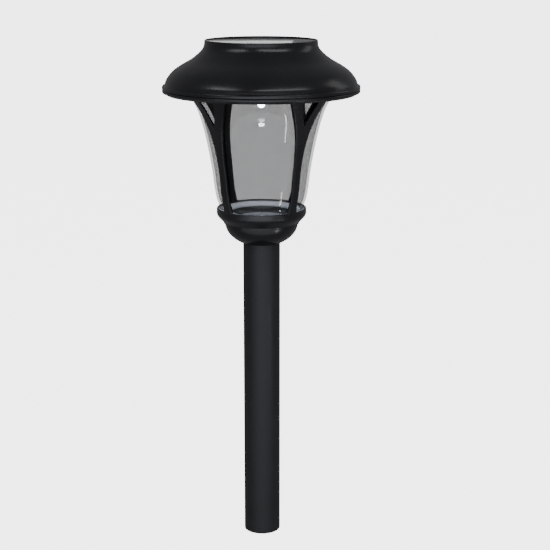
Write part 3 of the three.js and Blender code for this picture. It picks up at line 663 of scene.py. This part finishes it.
def round_repeat_tree():
    """Copies of the piece's mesh at even angles about Z."""
    tree, keys = open_tree(
        "round_repeat",
        {"Count": "Int", "First Angle": "Float", "Step Angle": "Float", "Finish": "Material"},
    )
    source = tree.nodes.new("NodeGroupInput")
    spots = tree.nodes.new("GeometryNodePoints")
    number = tree.nodes.new("GeometryNodeInputIndex")
    turn = add_node(tree, "ShaderNodeMath", operation="MULTIPLY_ADD")
    spin = tree.nodes.new("ShaderNodeCombineXYZ")
    copies = tree.nodes.new("GeometryNodeInstanceOnPoints")
    link = tree.links.new
    link(source.outputs["Count"], spots.inputs["Count"])
    link(number.outputs["Index"], turn.inputs[0])
    link(source.outputs["Step Angle"], turn.inputs[1])
    link(source.outputs["First Angle"], turn.inputs[2])
    link(turn.outputs["Value"], spin.inputs["Z"])
    link(spots.outputs["Points"], copies.inputs["Points"])
    link(source.outputs["Geometry"], copies.inputs["Instance"])
    link(spin.outputs["Vector"], copies.inputs["Rotation"])
    close_tree(tree, source, copies)
    return tree, keys


ROUND_TREE, ROUND_KEYS = round_repeat_tree()


def plain(piece):
    """Puts the result of a piece's modifiers in its mesh and removes them."""
    bpy.context.view_layer.update()
    graph = bpy.context.evaluated_depsgraph_get()
    mesh = bpy.data.meshes.new_from_object(piece.evaluated_get(graph))
    piece.modifiers.clear()
    piece.data = mesh
    return piece


def run_tree(piece, tree, keys, values):
    """Runs a tree on a piece with these inputs, and leaves one plain mesh."""
    modifier = piece.modifiers.new(tree.name, "NODES")
    modifier.node_group = tree
    for label, value in values.items():
        modifier[keys[label]] = value
    return plain(piece)


def repeated(name, mesh, look, count, first_degrees):
    """The mesh repeated round the axis, as one plain mesh."""
    values = {
        "Count": count,
        "First Angle": math.radians(first_degrees),
        "Step Angle": 2 * math.pi / count,
        "Finish": LOOK[look],
    }
    return run_tree(new_piece(name, mesh, look), ROUND_TREE, ROUND_KEYS, values)


def joined(piece, *others):
    """Adds other pieces' meshes to a piece and removes them."""
    work = bmesh.new()
    work.from_mesh(piece.data)
    for other in others:
        work.from_mesh(other.data)
        bpy.data.objects.remove(other)
    work.to_mesh(piece.data)
    work.free()
    return piece


print("tree", ROUND_TREE.name, "with inputs", list(ROUND_KEYS))

# %% [markdown]
# ## Pole
# A straight steel tube, cut square and painted. A turned wall with small rounded edges at both
# ends is all it needs. It stays open, because the stake is stowed inside it.

# %% Pole
pole_bore = pole_r - POLE_WALL
turned(
    "pole_tube",
    [
        (pole_bore, 0, 0.25),
        (pole_r, 0, 0.35),
        (pole_r, pole_top, 0.35),
        (pole_bore, pole_top, 0.25),
    ],
    "pole_paint",
    "pole",
    ["pole"],
    96,
)

# %% [markdown]
# ## Bowl
# The bowl is half an egg with a socket inside that takes the pole. Its outside is an ellipse,
# so its outline is worked out from the two half axes and not drawn point by point.

# %% Bowl
seam_z = ring_low - SEAT
bowl_r = foot_r - 4.1
bowl_depth = 16.5
bowl_centre = seam_z + 0.5
socket_r = pole_r + FIT
sleeve_r = socket_r + BOWL_WALL
socket_top = pole_top + FIT
ring_bore = bowl_r - 0.8
spigot_r = ring_bore - FIT
spigot_bore = spigot_r - BOWL_WALL
spigot_top = high_z("bowl")
# The shelf inside the socket, which stops the pole
stop_r = socket_r - 4.5
stop_top = socket_top + 1.5


def bowl_arc(inset, from_r, to_r, steps=28):
    """Points of the bowl's elliptical wall, from the socket up to the rim."""
    across = bowl_r - inset
    deep = bowl_depth - inset
    first = math.acos(from_r / across)
    last = math.acos(min(1, to_r / across))
    angles = [first + (last - first) * i / steps for i in range(steps + 1)]
    return [(across * math.cos(a), bowl_centre - deep * math.sin(a)) for a in angles]


bowl_rim = bowl_r * math.cos(math.asin((bowl_centre - seam_z) / bowl_depth))
bowl_out = bowl_arc(0, socket_r, bowl_rim)
bowl_in = bowl_arc(BOWL_WALL, sleeve_r, spigot_bore)
turned(
    "bowl_shell",
    bowl_out
    + [
        (spigot_r, seam_z, 0.2),
        (spigot_r, spigot_top, 0.3),
        (spigot_bore, spigot_top, 0.3),
    ]
    + bowl_in[::-1]
    + [
        (sleeve_r, stop_top, 0.3),
        (stop_r, stop_top, 0.3),
        (stop_r, socket_top, 0.2),
        (socket_r, socket_top),
    ],
    "black_plastic",
    "lantern",
    ["bowl"],
)

# %% [markdown]
# ## Lens
# The lens is a bell of clear plastic. Its outer line flows through a few points given as shares
# of its flare and rise, and the inner line runs beside it at the wall's thickness, so both
# faces are there to tint and mirror the light.

# %% Lens
neck_z = foot_z + 3.3
bottom_r = foot_r - 1.5
lip_low = lens_top - 1.4
lip_r = mouth_r + LENS_LIP
flare = mouth_r - foot_r
rise = top_ring_low - foot_z
LENS_SHAPE = [(0.083, 0.098), (0.16, 0.205), (0.246, 0.368), (0.449, 0.63)]
LENS_SHAPE += [(0.684, 0.838), (0.93, 0.969), (1, 1)]
lens_points = [(foot_r, neck_z)]
lens_points += [(foot_r + out * flare, foot_z + up * rise) for out, up in LENS_SHAPE]
lens_line = flowing(lens_points, 64)
lens_inside = beside(lens_line, -LENS_WALL)
turned(
    "lens_bell",
    [
        (bottom_r, foot_z, 0.3),
        (foot_r - 0.4, foot_z + 0.4, 0.4),
        (foot_r, foot_z + 1.9),
    ]
    + [tuple(p) for p in lens_line]
    + [
        (mouth_r, lip_low),
        (lip_r, lip_low, 0.3),
        (lip_r, lens_top, 0.3),
        (lens_inside[-1].x, lens_top, 0.3),
    ]
    + [tuple(p) for p in lens_inside[::-1]]
    + [(bottom_r - LENS_WALL, foot_z, 0.2)],
    "lens_clear",
    "lantern",
    ["lens"],
)

# %% [markdown]
# ## Cage
# Four ribs rise from the base ring, follow the lens and fork into two arms that carry the top
# ring. A rib is a curved plate, so it is built as a grid of rows up the lens and columns across
# the rib. Above the crotch the middle column is doubled and the two halves part. The round
# repeat then makes four of them.

# %% Rib
RIB_GAP = 0.1
RIB_THICK = 1.8
STEM_HALF = 3.1
ARM_SPREAD = 18.5
ARM_GAP = 9.8
# How far a rib's foot sinks into the base ring, and how far the four are turned off the diagonals
RIB_SINK = 1.2
RIB_TURN = -2.7
seat_r = foot_r + 0.1
ring_r = foot_r + 1.56
bend_z = ring_top + 26
crotch_z = top_ring_low - 18
rib_near = beside(lens_line, RIB_GAP)
rib_far = beside(lens_line, RIB_GAP + RIB_THICK)


def bezier(points, steps=40):
    """Points of a Bezier curve of any order, by blending its handles again and again."""
    curve = []
    for i in range(steps + 1):
        row = [Vector(p) for p in points]
        while len(row) > 1:
            row = [a.lerp(b, i / steps) for a, b in zip(row, row[1:])]
        curve.append(row[0])
    return curve


rib_rise = top_ring_high - bend_z
foot_edge = bezier(
    [
        (STEM_HALF + 1.6, ring_top - 2),
        (STEM_HALF, ring_top + 0.5),
        (STEM_HALF, ring_top + 9),
    ]
)
arm_edge = bezier(
    [
        (STEM_HALF, bend_z),
        (STEM_HALF, bend_z + rib_rise * 0.52),
        (ARM_SPREAD * 0.46, bend_z + rib_rise * 0.69),
        (ARM_SPREAD, top_ring_high),
    ]
)
outer_edge = foot_edge + arm_edge
inner_edge = bezier(
    [
        (0, crotch_z),
        (0.9, crotch_z + 1.2),
        (ARM_GAP * 0.42, crotch_z + 9.5),
        (ARM_GAP, top_ring_high),
    ]
)


def rib_radii(z):
    """Inner and outer radius of a rib at a height; its foot grows out of the base ring."""
    near = max(seat_r, radius_at(rib_near, z))
    joint = ring_top + 4
    if z >= joint:
        return near, radius_at(rib_far, z)
    share = max(0, (z - ring_top + RIB_SINK) / (joint - ring_top + RIB_SINK))
    return near, ring_r + (radius_at(rib_far, joint) - ring_r) * share


def rib_mesh(half_columns=6, rows_below=44, rows_above=26):
    """One forked rib on the X axis, with its halves joined below the crotch."""
    low = ring_top - RIB_SINK
    top = top_ring_high - 0.3
    heights = [low + (crotch_z - low) * i / rows_below for i in range(rows_below + 1)]
    heights += [crotch_z + (top - crotch_z) * (i / rows_above) for i in range(1, rows_above + 1)]
    work = bmesh.new()

    def corner(z, across, radius):
        inward = math.sqrt(radius * radius - across * across)
        return work.verts.new((inward * MM, across * MM, z * MM))

    halves = {-1: [], 1: []}
    for z in heights:
        wide = radius_at(outer_edge, z)
        gap = radius_at(inner_edge, z) if z > crotch_z else 0
        radii = rib_radii(z)
        middle = None
        if gap <= 0:
            middle = [corner(z, 0, r) for r in radii]
        for side in (-1, 1):
            row = []
            for k in range(half_columns + 1):
                if k == 0 and middle:
                    row.append(middle)
                    continue
                across = side * (gap + (wide - gap) * k / half_columns)
                row.append([corner(z, across, r) for r in radii])
            halves[side].append(row)
    for rows in halves.values():
        for low_row, high_row in zip(rows, rows[1:]):
            for k in range(half_columns):
                for layer in (0, 1):
                    work.faces.new([
                        low_row[k][layer],
                        low_row[k + 1][layer],
                        high_row[k + 1][layer],
                        high_row[k][layer],
                    ])
            work.faces.new([low_row[-1][0], low_row[-1][1], high_row[-1][1], high_row[-1][0]])
        for row in (rows[0], rows[-1]):
            for k in range(half_columns):
                work.faces.new([row[k][0], row[k + 1][0], row[k + 1][1], row[k][1]])
        for low_row, high_row in list(zip(rows, rows[1:]))[rows_below:]:
            work.faces.new([low_row[0][0], low_row[0][1], high_row[0][1], high_row[0][0]])
    mesh = bpy.data.meshes.new("rib")
    bmesh.ops.recalc_face_normals(work, faces=work.faces)
    work.to_mesh(mesh)
    work.free()
    return mesh


rib = new_piece("rib", rib_mesh(), "black_plastic")
bevel = rib.modifiers.new("edges", "BEVEL")
bevel.width = 0.4 * MM
bevel.segments = 3
bevel.limit_method = "ANGLE"
bevel.angle_limit = math.radians(50)
plain(rib)
rib_shape = rib.data
bpy.data.objects.remove(rib)
print("one rib:", len(rib_shape.polygons), "faces")

# %% Cage of four ribs and two rings
ring_foot = bowl_r + 0.9
ledge_r = seat_r - 1.8
ledge_z = ring_top - 1.9
cup_ledge_z = ledge_z - 2.9
slope = (ring_r - ring_foot) / 3
top_ring_bore = mouth_r + FIT
top_ring_r = top_ring_bore + 4.4
base_ring = turned_mesh(
    "base_ring",
    rounded([
        (ring_bore, ring_low, 0.2),
        (ring_foot, ring_low, 0.3),
        (ring_foot, ring_low + 0.9, 0.3),
        (ring_foot + slope * 1.25, ring_low + 2.95, 1.2),
        (ring_r - slope * 0.5, ring_low + 5.07, 1.2),
        (ring_r, ring_low + 6.8, 1.2),
        (ring_r, ring_top, 1.1),
        (seat_r, ring_top - 0.3, 0.3),
        (seat_r, ledge_z, 0.15),
        (ledge_r, ledge_z, 0.2),
        (ledge_r, cup_ledge_z, 0.15),
        (ring_bore, cup_ledge_z, 0.2),
    ]),
)
top_ring = turned_mesh(
    "top_ring",
    rounded([
        (top_ring_bore, top_ring_low, 0.3),
        (top_ring_r, top_ring_low, 0.5),
        (top_ring_r, top_ring_high, 0.4),
        (top_ring_bore, top_ring_high, 0.3),
    ]),
)
cage = repeated("cage_ribs", rib_shape, "black_plastic", 4, -45 + RIB_TURN)
joined(
    cage,
    new_piece("base_ring", base_ring, "black_plastic"),
    new_piece("top_ring", top_ring, "black_plastic"),
)
smooth(cage.data, 40)
settle(cage, "lantern", "black_plastic", "cage")

# %% [markdown]
# ## Well and reflectors
# Under the lens a black cup closes the bowl. A bright disc lies on its floor and a sloping dish
# hides its rim, so that the lamp's light is thrown back out through the lens.

# %% Well cup, disc and dish
cup_r = radius_of("reflector_disc") + FIT
cup_low = low_z("well_cup")
cup_top = high_z("well_cup")
turned(
    "well_cup",
    [
        (0, cup_low),
        (cup_r + CUP_WALL, cup_low, 0.5),
        (cup_r + CUP_WALL, cup_top - CUP_WALL, 0.2),
        (ledge_r - FIT, cup_top - CUP_WALL, 0.2),
        (ledge_r - FIT, cup_top, 0.3),
        (cup_r, cup_top, 0.4),
        (cup_r, cup_low + CUP_FLOOR, 0.4),
        (0, cup_low + CUP_FLOOR),
    ],
    "inner_plastic",
    "lantern",
    ["well_cup"],
)
disc_low = low_z("reflector_disc")
disc_high = high_z("reflector_disc")
turned(
    "reflector_disc",
    [
        (0, disc_low),
        (cup_r - FIT, disc_low, 0.15),
        (cup_r - FIT, disc_high, 0.2),
        (cup_r - 2.4, disc_high, 0.3),
        (cup_r - 3, disc_high - 0.3, 0.3),
        (0, disc_high - 0.3),
    ],
    "reflector_grey",
    "lantern",
    ["reflector_disc"],
    96,
)
dish_low = low_z("reflector_dish")
dish_high = high_z("reflector_dish")
turned(
    "reflector_dish",
    [
        (cup_r, dish_low, 0.1),
        (ledge_r - FIT, dish_high - 1, 0.2),
        (seat_r - FIT, dish_high - 1, 0.15),
        (seat_r - FIT, dish_high, 0.2),
        (ledge_r + 0.1, dish_high, 0.5),
        (cup_r, dish_low + 1, 0.3),
    ],
    "reflector_pale",
    "lantern",
    ["reflector_dish"],
    slot="reflector_grey",
)

# %% [markdown]
# ## Hat
# The hat is one thin shell. From its rim it falls in a long hollow curve to two round beads at
# the brim. The slope is a flowing line, and the wall runs beside it on the inside.

# %% Hat shell
plate_r = radius_of("base_plate")
slope_points = [
    (hat_r - 2, flange_z + 6.1),
    (hat_r - 2.6, flange_z + 8.1),
    (hat_r - 4.65, flange_z + 11.3),
    (hat_r - 7.75, flange_z + 14.6),
    (hat_r - 12.45, flange_z + 17.9),
    (rim_r + 9.1, hat_top - 12.8),
    (rim_r + 4.8, hat_top - 9.5),
    (rim_r + 1.6, hat_top - 6.3),
    (rim_r + 0.3, hat_top - 3.6),
    (rim_r, hat_top - 1),
]
hat_line = flowing(slope_points, 60)
hat_inside = [p for p in beside(hat_line, -HAT_WALL) if p.y < deck_z - 2.1]
hat_shape = turned_mesh(
    "hat_shell",
    rounded(
        [
            (plate_r + FIT, hat_low, 0.2),
            (hat_r - 3.1, hat_low, 0.35),
            (hat_r - 2.5, hat_low + 0.7, 0.4),
            (hat_r - 1.7, flange_z, 0.3),
            (hat_r - 0.15, flange_z + 0.1, 0.9),
            (hat_r, flange_z + 1.9, 0.9),
            (hat_r - 0.8, flange_z + 2.2, 0.1),
            (hat_r, flange_z + 2.5, 0.9),
            (hat_r, flange_z + 4.75, 1.3),
            (hat_r - 1.9, flange_z + 5.0, 0.3),
        ]
        + [tuple(p) for p in hat_line]
        + [
            (rim_r - 0.05, hat_top, 0.6),
            (rim_r - HAT_RIM_WALL, hat_top, 0.25),
            (rim_r - HAT_RIM_WALL, deck_z),
            (0, deck_z),
            (0, deck_z - HAT_DECK),
            (hat_inside[-1].x, deck_z - HAT_DECK),
        ]
        + [tuple(p) for p in hat_inside[::-1]]
        + [(plate_r + FIT, flange_z + 4.9)]
    ),
    160,
)
# The posts that the hat's screws bite into
boss_bore = 1.6
boss_r = 2.8
boss_low = flange_z + 1.7
boss_high = flange_z + 11.8
hat_boss = turned_mesh(
    "hat_boss",
    rounded([
        (boss_bore, boss_low),
        (boss_r, boss_low, 0.3),
        (boss_r, boss_high),
        (boss_bore, boss_high),
    ]),
    24,
)
screw_circle = plate_r - 3.9
for vertex in hat_boss.vertices:
    vertex.co.x += screw_circle * MM
hat = new_piece("hat_shell", hat_shape, "black_plastic")
joined(hat, repeated("hat_bosses", hat_boss, "black_plastic", 3, 90))
smooth(hat.data)
settle(hat, "cap", "black_plastic", "hat_shell")

# %% [markdown]
# ## Solar panel
# A clear window with an eased edge covers a blue-black cell on a pale backing card. The cell
# carries fine silver fingers that gather its current, and two broader bars across them.

# %% Window, gasket and backing
window_r = radius_of("solar_window")
turned(
    "solar_window",
    [
        (0, low_z("solar_window")),
        (window_r, low_z("solar_window"), 0.1),
        (window_r, high_z("solar_window"), 0.35),
        (0, high_z("solar_window")),
    ],
    "solar_glass",
    "cap",
    ["solar_window"],
)
gasket_r = radius_of("window_gasket")
gasket_bore = gasket_r - 1.7
turned(
    "window_gasket",
    [
        (gasket_bore, low_z("window_gasket"), 0.15),
        (gasket_r, low_z("window_gasket"), 0.15),
        (gasket_r, high_z("window_gasket"), 0.15),
        (gasket_bore, high_z("window_gasket"), 0.15),
    ],
    "rubber_black",
    "cap",
    ["window_gasket"],
    96,
)

# %% Silver fingers on the solar cell


def bar_row_tree():
    """A row of copies of the piece's mesh, at even steps from a first place."""
    tree, keys = open_tree(
        "bar_row",
        {"Count": "Int", "Spacing": "Vector", "First": "Vector", "Finish": "Material"},
    )
    source = tree.nodes.new("NodeGroupInput")
    line = tree.nodes.new("GeometryNodeMeshLine")
    copies = tree.nodes.new("GeometryNodeInstanceOnPoints")
    link = tree.links.new
    link(source.outputs["Count"], line.inputs["Count"])
    link(source.outputs["First"], line.inputs["Start Location"])
    link(source.outputs["Spacing"], line.inputs["Offset"])
    link(line.outputs["Mesh"], copies.inputs["Points"])
    link(source.outputs["Geometry"], copies.inputs["Instance"])
    close_tree(tree, source, copies)
    return tree, keys


def bar_mesh(name, length, width, height):
    """A low bar with a crowned top, centred on the origin."""
    work = bmesh.new()
    bmesh.ops.create_cube(work, size=1)
    for vertex in work.verts:
        vertex.co.x *= length * MM
        vertex.co.y *= width * MM * (0.6 if vertex.co.z > 0 else 1)
        vertex.co.z *= height * MM
    mesh = bpy.data.meshes.new(name)
    work.to_mesh(mesh)
    work.free()
    return mesh


BAR_TREE, BAR_KEYS = bar_row_tree()


def bar_row(name, mesh, count, spacing, first):
    """A row of bars as one plain mesh; spacing and first are in millimetres."""
    values = {
        "Count": count,
        "Spacing": [v * MM for v in spacing],
        "First": [v * MM for v in first],
        "Finish": LOOK["steel_plated"],
    }
    return run_tree(new_piece(name, mesh, "steel_plated"), BAR_TREE, BAR_KEYS, values)


cell_low, cell_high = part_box("solar_cell")
cell_width = (cell_high.x - cell_low.x) / MM
finger_z = cell_high.z / MM + 0.05
finger_pitch = 1.84
finger_count = int(cell_width / finger_pitch)
finger_first = -finger_pitch * (finger_count - 1) / 2
fingers = bar_row(
    "cell_fingers",
    bar_mesh("finger", length=cell_width - 1.2, width=0.14, height=0.08),
    finger_count,
    (0, finger_pitch, 0),
    (0, finger_first, finger_z),
)
bus_bars = bar_row(
    "bus_bars",
    bar_mesh("bus_bar", length=1.3, width=cell_width - 1, height=0.1),
    2,
    (cell_width / 2, 0, 0),
    (-cell_width / 4, 0, finger_z),
)
joined(fingers, bus_bars)
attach(fingers, "cap")
print("cell with", finger_count, "fingers")

# %% [markdown]
# ## Seal, lamp and its stem
# A soft round ring seals the hat on the lens. The lamp is a 5 mm light-emitting diode in the
# end of a short stem under the plate; its dome is what shines through the lens.

# %% Seal ring
seal_low = low_z("seal_ring")
seal_high = high_z("seal_ring")
seal_r = (seal_high - seal_low) / 2
seal_mid = radius_of("seal_ring") - seal_r
seal_centre = (seal_low + seal_high) / 2
seal_steps = 20
seal_angles = [2 * math.pi * i / seal_steps for i in range(seal_steps)]
turned(
    "seal_ring",
    [(seal_mid + seal_r * math.cos(a), seal_centre + seal_r * math.sin(a)) for a in seal_angles],
    "rubber_black",
    "seal",
    ["seal_ring"],
)

# %% Lamp and stem
led_r = 2.5
led_rim_r = led_r + 0.4
led_tip = low_z("led_lamp")
led_flange = led_tip + 7.7
lead_r = 0.3
lead_offset = 1.27
dome_steps = 12
dome_angles = [math.pi / 2 * i / dome_steps for i in range(dome_steps + 1)]
dome = [(led_r * math.sin(a), led_tip + led_r * (1 - math.cos(a))) for a in dome_angles]
lamp_shape = turned_mesh(
    "led_lamp",
    rounded(
        dome
        + [
            (led_r, led_flange),
            (led_rim_r, led_flange, 0.1),
            (led_rim_r, led_flange + 1, 0.1),
            (0, led_flange + 1),
        ]
    ),
    48,
)
lead_low = led_flange + 0.6
lead_top = high_z("led_lamp")
lead_pair = []
for side in (-1, 1):
    lead = turned_mesh(
        "lead",
        rounded([(0, lead_low), (lead_r, lead_low), (lead_r, lead_top, 0.1), (0, lead_top)]),
        12,
    )
    for vertex in lead.vertices:
        vertex.co.x += side * lead_offset * MM
    lead_pair.append(new_piece("lead", lead, "led_resin"))
lamp = joined(new_piece("led_lamp", lamp_shape, "led_resin"), *lead_pair)
smooth(lamp.data)
settle(lamp, "cap", "led_resin", "led_lamp")

# The light that leaves the lamp's tip; it rides with the lamp
glow_data = bpy.data.lights.new("lamp glow", "SPOT")
glow_data.energy = 0.5
glow_data.color = (0.84, 0.88, 1)
glow_data.spot_size = math.radians(150)
glow_data.spot_blend = 0.6
glow_data.shadow_soft_size = 0.002
glow_light = bpy.data.objects.new("lamp glow", glow_data)
glow_light.location = (0, 0, (led_tip - 3) * MM)
glow_light.parent = lamp
glow_light.matrix_parent_inverse = lamp.matrix_world.inverted()
scene_objects.link(glow_light)

stem_low = low_z("led_bezel")
stem_r = led_r + FIT + 1.3
turned(
    "led_stem",
    [
        (led_r + FIT, stem_low, 0.2),
        (stem_r, stem_low, 0.5),
        (stem_r + 0.9, plate_z - 3, 1.5),
        (stem_r + 3.4, plate_z - 1, 0.5),
        (stem_r + 3.4, plate_z - SEAT, 0.1),
        (led_rim_r + FIT, plate_z - SEAT),
        (led_rim_r + FIT, led_flange - SEAT),
        (led_r + FIT, led_flange - SEAT),
    ],
    "inner_plastic",
    "cap",
    ["led_bezel"],
    64,
)

# %% [markdown]
# ## Screws
# Each screw is a turned shank and head with a cross cut into it. The cut is a Boolean, because
# that is how a punch makes the real one. The round repeat puts three under the lens and three
# under the hat.

# %% Screws
SCREW_SHANK = 1.3
SCREW_HEAD = 2.4
# The cross in a head: the length and the width of each arm, as shares of the head's radius
CROSS_LONG = 1.24
CROSS_WIDE = 0.26


def screw_mesh(name, thickness, length, point_up):
    """A pan-head screw along Z; the head's face is at z = 0 and the shank runs away from it."""
    body = turned_mesh(
        name,
        rounded([
            (0, -thickness - length),
            (SCREW_SHANK * 0.6, -thickness - length),
            (SCREW_SHANK, -thickness - length + SCREW_SHANK),
            (SCREW_SHANK, -thickness, 0.1),
            (SCREW_HEAD, -thickness, 0.15),
            (SCREW_HEAD, -thickness * 0.45, 0.5),
            (SCREW_HEAD * 0.7, 0, 0.4),
            (0, 0),
        ]),
        32,
    )
    cross = bmesh.new()
    for along_x, along_y in ((CROSS_LONG, CROSS_WIDE), (CROSS_WIDE, CROSS_LONG)):
        made = bmesh.ops.create_cube(cross, size=1)["verts"]
        for vertex in made:
            vertex.co.x *= SCREW_HEAD * along_x * MM
            vertex.co.y *= SCREW_HEAD * along_y * MM
            vertex.co.z *= thickness * 1.1 * MM
    cutter_mesh = bpy.data.meshes.new("cross")
    cross.to_mesh(cutter_mesh)
    cross.free()
    piece = new_piece(name, body, "steel_plated")
    cutter = new_piece("cross", cutter_mesh, "steel_plated")
    cut = piece.modifiers.new("cross", "BOOLEAN")
    cut.operation = "DIFFERENCE"
    cut.use_self = True
    cut.object = cutter
    plain(piece)
    mesh = piece.data
    bpy.data.objects.remove(piece)
    bpy.data.objects.remove(cutter)
    if point_up:
        for vertex in mesh.vertices:
            vertex.co.y *= -1
            vertex.co.z *= -1
    smooth(mesh)
    return mesh


def screw_ring(name, mesh, circle, face_z, first, body, *replaced):
    """Three screws on a circle, with their heads' faces at a height."""
    for vertex in mesh.vertices:
        vertex.co.x += circle * MM
        vertex.co.z += face_z * MM
    piece = repeated(name, mesh, "steel_plated", 3, first)
    settle(piece, body, "steel_plated", *replaced)


bowl_circle = cup_r - 3.5
bowl_screw = screw_mesh("bowl_screw", thickness=1.2, length=6, point_up=False)
screw_ring(
    "bowl_screws", bowl_screw, bowl_circle, high_z("bowl_screw_1"), 30, "lantern",
    "bowl_screw_1", "bowl_screw_2", "bowl_screw_3",
)
hat_screw = screw_mesh("hat_screw", thickness=1.3, length=8, point_up=True)
screw_ring(
    "hat_screws", hat_screw, screw_circle, low_z("hat_screw_1"), 90, "cap",
    "hat_screw_1", "hat_screw_2", "hat_screw_3",
)

# %% [markdown]
# ## Pieces that keep their own shape
# The plate, the battery and what hangs on it are boxes and rods whose shape is already right.
# They keep it, and only get their finish.

# %% Dress the kept nodes
KEPT = {
    "ground_stake": "stake_plastic",
    "base_plate": "black_plastic",
    "battery_door": "black_plastic",
    "door_screw": "steel_plated",
    "battery_cell": "battery_wrap",
    "battery_spring": "steel_plated",
    "contact_negative": "steel_plated",
    "contact_positive": "steel_plated",
    "circuit_board": "board_green",
    "board_screw_1": "steel_plated",
    "board_screw_2": "steel_plated",
    "control_chip": "rubber_black",
    "boost_coil": "inner_plastic",
    "switch_body": "steel_plated",
    "switch_knob": "inner_plastic",
    "solar_wire_red": "wire_red",
    "solar_wire_black": "wire_black",
    "battery_wire_red": "wire_red",
    "battery_wire_black": "wire_black",
    "cell_backing": "backing_card",
    "solar_cell": "silicon",
}
for node_name, look_name in KEPT.items():
    slots = nodes[node_name].material_slots
    if not slots:
        nodes[node_name].data.materials.append(LOOK[look_name])
    for material_slot in slots:
        material_slot.material = LOOK[look_name]
print(len(KEPT), "nodes keep their shape")
